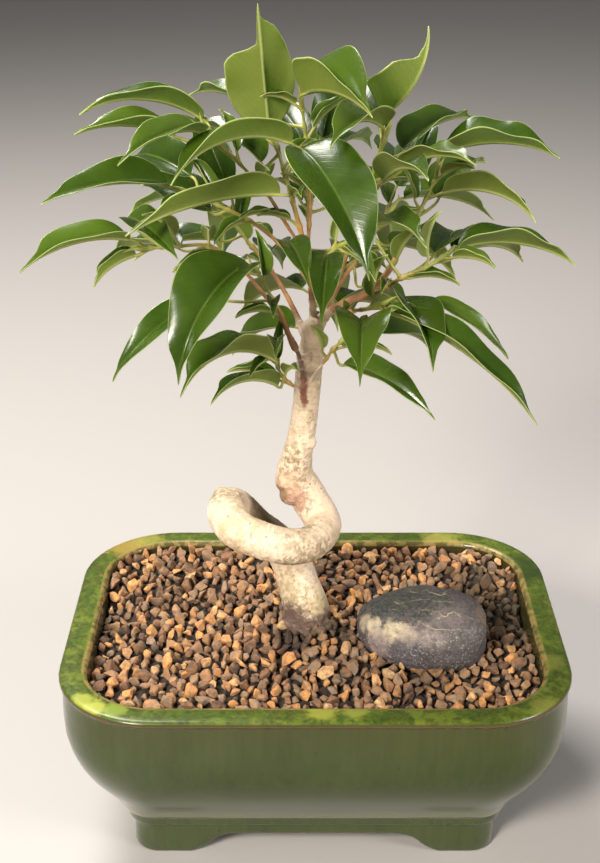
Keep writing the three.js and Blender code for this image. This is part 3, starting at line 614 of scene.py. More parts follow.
tree.links.new(bump(tree, relief, 0.25), shader.inputs["Normal"])

pot = new_piece("glazed_pot", pot_points, pot_faces, [glaze], notes=[("bare", "FLOAT", "POINT", pot_bare), ("inner", "FLOAT", "POINT", pot_inner), ("lip", "FLOAT", "POINT", pot_lip)])
stand_in(pot, "glaze", "pot")

# %% [markdown]
# ## Soil and drainage screens
# Under the gravel the pot is full of soil, and a square of black plastic mesh covers each hole.
# Both are hidden unless the pot is lifted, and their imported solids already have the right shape,
# so they stay and only get their finishes.

# %% Soil and screens
soil_finish, tree, shader = new_finish("damp_soil", Roughness=0.95)
place = place_of(tree)
crumbs = noise_of(tree, place, 420, 6, 0.7)
tone = blend(tree, fade(tree, crumbs, 0.35, 0.65), (0.013, 0.008, 0.005, 1), (0.06, 0.036, 0.02, 1))
fibres = effect(tree, specks, Vector=place, Scale=260, Size=0.3, Share=0.12)
tree.links.new(blend(tree, fibres, tone, (0.16, 0.11, 0.06, 1)), shader.inputs["Base Color"])
tree.links.new(bump(tree, crumbs, 0.9), shader.inputs["Normal"])
screen_finish, tree, shader = new_finish("black_plastic_mesh", Roughness=0.55)
scuffs = effect(tree, mottling, Vector=place_of(tree), Scale=500, Softness=0.25)
tree.links.new(blend(tree, scuffs, (0.011, 0.011, 0.01, 1), (0.026, 0.025, 0.023, 1)), shader.inputs["Base Color"])
tree.links.new(bump(tree, scuffs, 0.05), shader.inputs["Normal"])
for name, finish in (("soil", soil_finish), ("drain_screen_left", screen_finish), ("drain_screen_right", screen_finish)):
    solid = frame["nodes"][name]
    solid.data.materials.clear()
    solid.data.materials.append(finish)
print("finished: soil and both screens")

# %% [markdown]
# ## The river stone
# A worn stone is a ball that water has made blunt: flat below, full to the right and drawn out to
# the left. It is a superellipsoid, dented with a little noise so that no curve is perfect. Its
# finish is nearly black and greenish at the back left. A cream, rubbed band crosses it at the front
# left, fine pale grains show low down on the grey-brown front, and thin yellowish veins run on top.

# %% The stone
STONE_CENTRE, STONE_HALF = np.array((33, -9, 63.5)), np.array((20, 15.5, 11))
STONE_TURN = math.radians(-6)


def stone_point(direction):
    x, y, z = direction
    blunt = 3.2 if x > 0 else 2.3
    x, y, z = np.array((x, y, z)) * (abs(x) ** blunt + abs(y) ** 2.3 + abs(z) ** 2.4) ** (-1 / 2.5)
    x = min(x, 1 - 0.12 * max(0, x - 0.8))
    y *= 1 - 0.16 * max(0, -x)
    z *= 1 - 0.2 * max(0, -x) + 0.04 * math.sin(5 * x + 3 * y)
    z = z * 1.04 + 0.08 * min(0, x) ** 2 - 0.05
    dent = 1 + 0.016 * noise.noise(Vector((x, y, z)) * 2.6) + 0.01 * noise.noise(Vector((x, y, z)) * 7)
    return np.array((x, y, z)) * STONE_HALF * dent


ball = bmesh.new()
bmesh.ops.create_icosphere(ball, subdivisions=6, radius=1)
cosine, sine = math.cos(STONE_TURN), math.sin(STONE_TURN)
turned = np.array([[cosine, sine, 0], [-sine, cosine, 0], [0, 0, 1]])
stone_points = [stone_point(v.co.normalized()) @ turned + STONE_CENTRE for v in ball.verts]
stone_faces = [[v.index for v in face.verts] for face in ball.faces]
ball.free()

stone_finish, tree, shader = new_finish("river_stone", Roughness=0.6)
place = place_of(tree, STONE_CENTRE)
clouds = effect(tree, mottling, Vector=place, Scale=80, Softness=0.14)
grit = effect(tree, mottling, Vector=place, Scale=520, Softness=0.16)
colour = blend(tree, clouds, (0.045, 0.038, 0.039, 1), (0.13, 0.104, 0.1, 1))
# place from the stone's middle, reach, colour, strength
ZONES = [
    ((-9, 2, 9), 10.5, (0.02, 0.03, 0.024), 0.95),
    ((0, -3, 11), 8.5, (0.026, 0.032, 0.028), 0.9),
    ((-15, 2, 7.5), 7.5, (0.024, 0.038, 0.03), 0.93),
    ((-18.5, -4, 4), 3.2, (0.5, 0.4, 0.28), 0.8),
    ((-15, -7.5, 4), 3.2, (0.62, 0.52, 0.34), 0.9),
    ((-10.5, -10.5, 4.6), 3.4, (0.6, 0.5, 0.31), 0.9),
    ((-5.5, -12, 4.6), 3.2, (0.5, 0.4, 0.28), 0.85),
    ((-14, -10, 0), 5, (0.32, 0.25, 0.24), 0.7),
    ((0, -12.5, 4.5), 3.5, (0.36, 0.28, 0.24), 0.65),
    ((4.5, -13, 3.5), 3, (0.4, 0.32, 0.28), 0.5),
    ((7, -9, 8), 5, (0.2, 0.16, 0.15), 0.6),
    ((13, -10.5, 4), 3, (0.5, 0.42, 0.42), 0.75),
    ((17.5, -4, 4.5), 4.5, (0.24, 0.16, 0.08), 0.7),
    # painted shade: this place and the next darken the stone's lower front, most on the right, where shade falls
    ((-6, -13, -2), 6, (0.06, 0.06, 0.08), 0.75),
    ((12, -11, 0), 10, (0.042, 0.04, 0.038), 0.8),
]
colour = stained(tree, colour, place, ZONES, 260)
colour = blend(tree, calc(tree, "MULTIPLY", grit, 0.55), colour, (0.05, 0.042, 0.042, 1))
warp = noise_of(tree, place, 60, 4)
bands = node(tree, "ShaderNodeSeparateXYZ", {"Vector": place_of(tree, STONE_CENTRE, (0.35, 1, 1.3))}).outputs
line = calc(tree, "ADD", calc(tree, "ADD", bands["Y"], bands["Z"]), calc(tree, "MULTIPLY", warp, 26 * MM))
wave = calc(tree, "ABSOLUTE", calc(tree, "SINE", calc(tree, "MULTIPLY", line, 520)))
veined = effect(tree, soft_spot, Vector=place, Centre=Vector((3, -2, 10)) * MM, Reach=13 * MM)
veins = calc(tree, "MULTIPLY", fade(tree, wave, 0.2, 0.03), calc(tree, "MULTIPLY", veined, effect(tree, mottling, Vector=place, Scale=110, Softness=0.12)))
colour = blend(tree, calc(tree, "MULTIPLY", veins, 0.8), colour, (0.55, 0.48, 0.26, 1))
crust = effect(tree, mottling, Vector=place, Scale=900, Softness=0.08)
colour = blend(tree, calc(tree, "MULTIPLY", crust, 0.2), colour, (0.24, 0.2, 0.185, 1))
low_down = fade(tree, node(tree, "ShaderNodeSeparateXYZ", {"Vector": place}).outputs["Z"], 9 * MM, 3 * MM)
grains = effect(tree, specks, Vector=place, Scale=1100, Size=0.32, Share=0.34)
quartz = fade(tree, noise_of(tree, place, 1300, 2), 0.6, 0.68)
pale = calc(tree, "MULTIPLY", calc(tree, "MAXIMUM", grains, quartz), level(tree, low_down, 0.2, 0.55))
colour = blend(tree, pale, colour, (0.42, 0.36, 0.33, 1))
tree.links.new(colour, shader.inputs["Base Color"])
tree.links.new(level(tree, grit, 0.5, 0.72), shader.inputs["Roughness"])
tree.links.new(bump(tree, noise_of(tree, place, 600, 6, 0.7), 0.6), shader.inputs["Normal"])
stone = new_piece("river_stone", stone_points, stone_faces, [stone_finish])
stand_in(stone, "stone", "stone")

# %% [markdown]
# ## The gravel
# The dressing is crushed fired clay: angular grains of 3 to 6 mm, grey-brown and orange, lying
# every way with dark gaps between them. Modelling a thousand grains by hand is hopeless, but they
# follow a rule, so Geometry Nodes lay them: a dozen shapes with worn edges, one on each point of an
# uneven chessboard, turned and stretched at random with a fixed seed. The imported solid's relief has
# its points at the same places, so a grain lies on every bump, and a lower one in every dip.

# %% A dozen grain shapes
rng = np.random.default_rng(7)
grain_shapes = bpy.data.collections.new("grain_shapes")
for number in range(12):
    cluster = rng.normal(size=(15, 3))
    cluster /= np.linalg.norm(cluster, axis=1)[:, None]
    cluster *= rng.uniform(0.72, 1.05, (15, 1)) * np.array((0.54, rng.uniform(0.34, 0.46), rng.uniform(0.27, 0.4)))
    shape = bmesh.new()
    for point in cluster:
        shape.verts.new(point)
    hull = bmesh.ops.convex_hull(shape, input=shape.verts)
    bmesh.ops.delete(shape, geom=[v for v in shape.verts if not v.link_faces], context="VERTS")
    bmesh.ops.bevel(shape, geom=shape.edges, affect="EDGES", offset=0.035, segments=1, clamp_overlap=True)
    bmesh.ops.recalc_face_normals(shape, faces=shape.faces)
    mesh = bpy.data.meshes.new(f"grain_shape_{number:02d}")
    shape.to_mesh(mesh)
    shape.free()
    grain_shapes.objects.link(bpy.data.objects.new(mesh.name, mesh))

# %% Where the grains lie
GRAVEL_EDGE_Z, GRAVEL_MOUND, GRAVEL_MOUND_REACH = 58.6, 3.4, 26
GRAIN_STEP, GRAIN_RELIEF = 3, 2.2
TRUNK_FOOT = np.array((-1.8, 2.2))


def gravel_level(x, y):
    return GRAVEL_EDGE_Z + GRAVEL_MOUND * math.exp(-(x * x + y * y) / GRAVEL_MOUND_REACH**2)


# place, reach and depth of the hollows where the dressing lies lower
HOLLOWS = [((61, 6), 11, 2.4), ((50, 24), 7, 1.4), ((33, -27), 8, 1.6), ((-5, -9), 5, 1.8), ((-66, 5), 9, 1.4), ((-66, -22), 9, 1.2), ((8, -7), 4, 1.2)]


def heaped(x, y):
    """How much higher the dressing lies against the back wall, less the hollows, in millimetres."""
    share = min(max((y - 8) / 36, 0), 1)
    rise = 2 * share * share * (3 - 2 * share)
    return rise - sum(depth * math.exp(-((x - hx) ** 2 + (y - hy) ** 2) / reach**2) for (hx, hy), reach, depth in HOLLOWS)


def draw(number, seed):
    """A repeatable draw from 0 to 1 for a pair of whole numbers."""
    wave = math.sin(number * 12.9898 + seed * 78.233) * 43758.5453
    return wave - math.floor(wave)


def grain_place(column, row):
    """One point of the chessboard, drawn aside and up or down a little."""
    key, on_top = column + 997 * row, (column + row) % 2 == 0
    wander = 0.7 if on_top else 0.4
    x, y = ((place + wander * (draw(key, seed) - 0.5)) * GRAIN_STEP for place, seed in ((column, 3), (row, 5)))
    rise = 0.6 + 0.4 * draw(key, 7) if on_top else 0.35 * draw(key, 9)
    return np.array((x, y, gravel_level(x, y) + GRAIN_RELIEF * (rise - 0.5)))


def wall_distance(x, y):
    """How far inside the pot's inner wall a place is, in millimetres."""
    half_x, half_y, corner = POT_LENGTH / 2 - 8.7, POT_DEPTH / 2 - 8.7, 19
    dx, dy = abs(x) - (half_x - corner), abs(y) - (half_y - corner)
    outside = math.hypot(max(dx, 0), max(dy, 0)) + min(max(dx, dy), 0)
    return corner - outside


def stone_distance(x, y, z):
    """Above 1 outside the stone and below 1 inside it."""
    local = turned @ (np.array((x, y, z)) - STONE_CENTRE) / STONE_HALF
    local[2] /= 0.8 if local[2] < 0 else 1
    return (np.abs(local) ** np.array((2.6, 2.3, 2.2))).sum() ** 0.4


def lay_out(name, on_top, sink, wall_gap, trunk_gap, stone_gap):
    """One layer's places; those that are too near the wall, the trunk or the stone move or drop out."""
    places = []
    for column in range(-26, 27):
        for row in range(-19, 20):
            if ((column + row) % 2 == 0) != on_top:
                continue
            place = grain_place(column, row) - (0, 0, sink)
            place[2] += heaped(place[0], place[1])
            away = place[:2] - TRUNK_FOOT
            if np.hypot(*away) < trunk_gap:
                place[:2] += away * (trunk_gap / np.hypot(*away) - 1)
            x, y, z = place
            room = wall_distance(x, y)
            if room < wall_gap:
                inward = np.array((wall_distance(x + 0.1, y) - room, wall_distance(x, y + 0.1) - room)) / 0.1
                place[:2] += inward * (wall_gap - room)
            out = stone_distance(x, y, z)
            if out < stone_gap:
                place[:2] += (place[:2] - STONE_CENTRE[:2]) * (stone_gap / out - 1)
            if np.hypot(*away) > trunk_gap - 2.3 and room > wall_gap - 1.9 and out > stone_gap - 0.14:
                places.append(place)
    print(name, "has", len(places), "places")
    return new_piece(name, places, [], [])


# %% The tree of nodes that lays grains
scatter = bpy.data.node_groups.new("lay_grains", "GeometryNodeTree")
for socket, kind, value in [
    ("Places", "NodeSocketGeometry", None),
    ("Grains", "NodeSocketCollection", None),
    ("Finish", "NodeSocketMaterial", None),
    ("Smallest", "NodeSocketFloat", 0.0036),
    ("Largest", "NodeSocketFloat", 0.0054),
    ("Palest", "NodeSocketFloat", 1),
    ("Seed", "NodeSocketInt", 1),
]:
    made = scatter.interface.new_socket(socket, in_out="INPUT", socket_type=kind)
    if value is not None:
        made.default_value = value
scatter.interface.new_socket("Gravel", in_out="OUTPUT", socket_type="NodeSocketGeometry")
given = node(scatter, "NodeGroupInput").outputs


def random_of(kind, low, high, seed_shift):
    """A Random Value node; `kind` is FLOAT, FLOAT_VECTOR or INT."""
    made = node(scatter, "FunctionNodeRandomValue", data_type=kind)
    seed = node(scatter, "ShaderNodeMath", {0: given["Seed"], 1: seed_shift}, operation="ADD").outputs[0]
    lows = [s for s in made.inputs if s.name == "Min" and s.enabled]
    highs = [s for s in made.inputs if s.name == "Max" and s.enabled]
    for socket, value in ((lows[0], low), (highs[0], high)):
        if isinstance(value, bpy.types.NodeSocket):
            scatter.links.new(value, socket)
        else:
            socket.default_value = value
    scatter.links.new(seed, made.inputs["Seed"])
    return next(s for s in made.outputs if s.enabled)


shapes = node(scatter, "GeometryNodeCollectionInfo", {"Collection": given["Grains"], "Separate Children": True, "Reset Children": True}).outputs[0]
size = random_of("FLOAT", given["Smallest"], given["Largest"], 2)
stretch = random_of("FLOAT_VECTOR", (0.85, 0.85, 0.85), (1.15, 1.15, 1.15), 3)
scale = node(scatter, "ShaderNodeVectorMath", {0: stretch, "Scale": size}, operation="SCALE").outputs[0]
grains = node(
    scatter,
    "GeometryNodeInstanceOnPoints",
    {
        "Points": given["Places"],
        "Instance": shapes,
        "Pick Instance": True,
        "Instance Index": random_of("INT", 0, len(grain_shapes.objects) - 1, 4),
        "Rotation": random_of("FLOAT_VECTOR", (0, 0, 0), (math.tau, math.tau, math.tau), 5),
        "Scale": scale,
    },
).outputs[0]
toned = node(scatter, "GeometryNodeStoreNamedAttribute", {"Geometry": grains, "Name": "tone"}, data_type="FLOAT", domain="INSTANCE")
scatter.links.new(random_of("FLOAT", 0.0, given["Palest"], 6), next(s for s in toned.inputs if s.name == "Value" and s.enabled))
loose = node(scatter, "GeometryNodeRealizeInstances", {"Geometry": toned.outputs[0]}).outputs[0]
dressed = node(scatter, "GeometryNodeSetMaterial", {"Geometry": loose, "Material": given["Finish"]}).outputs[0]
scatter.links.new(dressed, node(scatter, "NodeGroupOutput").inputs["Gravel"])
print("nodes in the tree that lays grains:", len(scatter.nodes))


def grown(piece, tree, **inputs):
    """Runs a Geometry Nodes tree over a piece and leaves the result as a plain mesh."""
    modifier = piece.modifiers.new(tree.name, "NODES")
    modifier.node_group = tree
    for item in tree.interface.items_tree:
        if item.in_out == "INPUT" and item.name in inputs:
            modifier[item.identifier] = inputs[item.name]
    bpy.context.view_layer.update()
    result = bpy.data.meshes.new_from_object(piece.evaluated_get(bpy.context.evaluated_depsgraph_get()))
    piece.modifiers.clear()
    piece.data = result
    return piece


# %% [markdown]
# The grains' colour comes from the random number that each one carries: most are grey-brown, a
# third are orange, and a few are nearly black or straw-coloured. Fired clay is dry and porous, so
# it is rough, with a fine pitted relief.

# %% The grains' finish
clay, tree, shader = new_finish("fired_clay", Roughness=0.88)
place = place_of(tree)
tones = node(tree, "ShaderNodeValToRGB", {"Fac": note_of(tree, "tone")})
CLAY_COLOURS = [
    (0.0, (0.035, 0.02, 0.014, 1)),
    (0.16, (0.11, 0.062, 0.04, 1)),
    (0.3, (0.34, 0.2, 0.1, 1)),
    (0.42, (0.17, 0.125, 0.085, 1)),
    (0.56, (0.27, 0.19, 0.12, 1)),
    (0.68, (0.44, 0.22, 0.085, 1)),
    (0.8, (0.62, 0.29, 0.09, 1)),
    (0.9, (0.76, 0.38, 0.13, 1)),
    (1.0, (0.58, 0.38, 0.19, 1)),
]
ramp = tones.color_ramp
while len(ramp.elements) < len(CLAY_COLOURS):
    ramp.elements.new(0.5)
for element, (position, colour) in zip(ramp.elements, CLAY_COLOURS):
    element.position, element.color = position, colour
dust = effect(tree, mottling, Vector=place, Scale=620, Softness=0.12)
colour = blend(tree, calc(tree, "MULTIPLY", dust, 0.6), tones.outputs["Color"], (0.13, 0.098, 0.068, 1))
rusty = effect(tree, mottling, Vector=place, Scale=330, Softness=0.1)
colour = blend(tree, calc(tree, "MULTIPLY", rusty, 0.33), colour, (0.48, 0.2, 0.065, 1))
# painted shade: gravel darkened round the stone, the trunk's foot and the left wall, for the shade that falls there
PAINTED_GRAVEL_SHADE = [
    ((60, 6, 60), 17, (0.03, 0.024, 0.012), 0.8),
    ((52, 27, 61), 11, (0.035, 0.028, 0.014), 0.65),
    ((34, 9, 61), 11, (0.045, 0.04, 0.014), 0.75),
    ((-6, -9, 60), 7, (0.03, 0.02, 0.018), 0.85),
    ((7, -7, 60), 6, (0.04, 0.03, 0.02), 0.75),
    ((33, -27, 59), 9, (0.03, 0.025, 0.018), 0.6),
    ((-67, 0, 60), 8, (0.035, 0.025, 0.015), 0.6),
]
colour = stained(tree, colour, place, PAINTED_GRAVEL_SHADE, 160)
pores = effect(tree, specks, Vector=place, Scale=1600, Size=0.35, Share=0.3)
colour = blend(tree, calc(tree, "MULTIPLY", pores, 0.5), colour, (0.05, 0.03, 0.02, 1))
tree.links.new(colour, shader.inputs["Base Color"])
tree.links.new(bump(tree, noise_of(tree, place, 900, 5, 0.7), 0.6), shader.inputs["Normal"])

bed_finish, tree, shader = new_finish("gravel_bed", Roughness=1)
fines = noise_of(tree, place_of(tree), 700, 5, 0.7)
tree.links.new(blend(tree, fines, (0.008, 0.005, 0.004, 1), (0.048, 0.032, 0.021, 1)), shader.inputs["Base Color"])
tree.links.new(bump(tree, fines, 0.8), shader.inputs["Normal"])

# %% Lay both layers over the bed
top_grains = lay_out("gravel_top_grains", True, 1.8, 1.3, 8.4, 1.09)
grown(top_grains, scatter, Grains=grain_shapes, Finish=clay, Smallest=3.5 * MM, Largest=6.4 * MM, Seed=11)
# painted shade: the lower layer's grains take only the darker part of the tones, for the shade in the gaps under the
# top grains
low_grains = lay_out("gravel_low_grains", False, 1.5, 1.5, 8.8, 1.1)
grown(low_grains, scatter, Grains=grain_shapes, Finish=clay, Smallest=3.4 * MM, Largest=4.8 * MM, Palest=0.72, Seed=29)

bed = bpy.data.objects.new("gravel_bed", frame["nodes"]["gravel"].data.copy())
bpy.context.scene.collection.objects.link(bed)
bed_mesh = bmesh.new()
bed_mesh.from_mesh(bed.data)
bmesh.ops.remove_doubles(bed_mesh, verts=bed_mesh.verts, dist=1e-6)
for vertex in bed_mesh.verts:
    if vertex.co.z > 51 * MM:
        vertex.co.z = max(vertex.co.z + (heaped(vertex.co.x / MM, vertex.co.y / MM) - 2.6) * MM, 51 * MM)
bed_mesh.to_mesh(bed.data)
bed_mesh.free()
bed.data.materials.clear()
bed.data.materials.append(bed_finish)
for piece in (top_grains, low_grains, bed):
    for polygon in piece.data.polygons:
        polygon.use_smooth = False
    stand_in(piece, "gravel", "gravel")
for shape in list(grain_shapes.objects):
    bpy.data.meshes.remove(shape.data)
bpy.data.collections.remove(grain_shapes)

# %% [markdown]
# ## The trunk
# One stem leaves the gravel, makes a full turn and climbs to a pruned head. Trained wood is never
# an even pipe: it swells over old cuts, wrinkles inside each bend and carries rings of fine marks.
# The stem and the woody foot of every branch are swept as round bars, then a voxel remesh melts
# them into one skin, which gives the soft collars where a branch leaves the wood. After that each
# point of the skin moves a little along its normal.

# %% The trunk's line, its lumps and the branches
# x, y, z and radius
TRUNK = [
    (-1.6, 2, 42, 7.8),
    (-1.6, 2, 50, 7.6),
    (-2.1, 2.3, 61, 7.3),
    (-4.3, 4, 69, 6.7),
    (-7.2, 7.5, 77, 6.1),
    (-11.5, 12, 82.5, 5.3),
    (-18, 12.5, 88, 4.9),
    (-22.8, 9.5, 94.6, 5.1),
    (-25.6, 3, 99.6, 5.5),
    (-26.5, -6, 101, 5.8),
    (-23, -13, 99.5, 5.8),
    (-16, -16, 97.5, 5.6),
    (-7.5, -15, 95, 5.4),
    (-0.5, -9, 93.5, 5.4),
    (2.5, 0, 95, 5.5),
    (-1.8, 5, 101, 5.8),
    (-5.8, 6, 108, 5.8),
    (-5.4, 5, 115, 4.7),
    (-4, 4.5, 122, 4),
    (-3, 4, 130, 3.9),
    (-2.3, 3, 139, 3.9),
    (-1.5, 3, 147, 3.8),
    (-0.9, 2.6, 154, 3.6),
    (-1, 2.2, 157.5, 3.1),
]
# Old pruning scars and the swelling over the coil: place and radius.
KNOTS = [((-8.2, 4, 107.4), 3.8), ((-6.9, 3.4, 103.3), 3.9), ((-8, 3.4, 113.5), 2.6), ((-1.8, 3.2, 120.5), 2.3), ((-28, 2, 103), 3), ((-3, 0.8, 149), 2.6)]


def leaf(at, base, tip, **habit):
    """Where a stalk leaves its twig (0 to 1), where the blade starts and ends, and its habit."""
    return {"at": at, "base": base, "tip": tip, **habit}


# The ways a blade's upper side is turned, besides straight up.
BACK, RIGHT, LEFT = (0, 0.35, 1), (0.7, 0, 1), (-0.7, 0, 1)

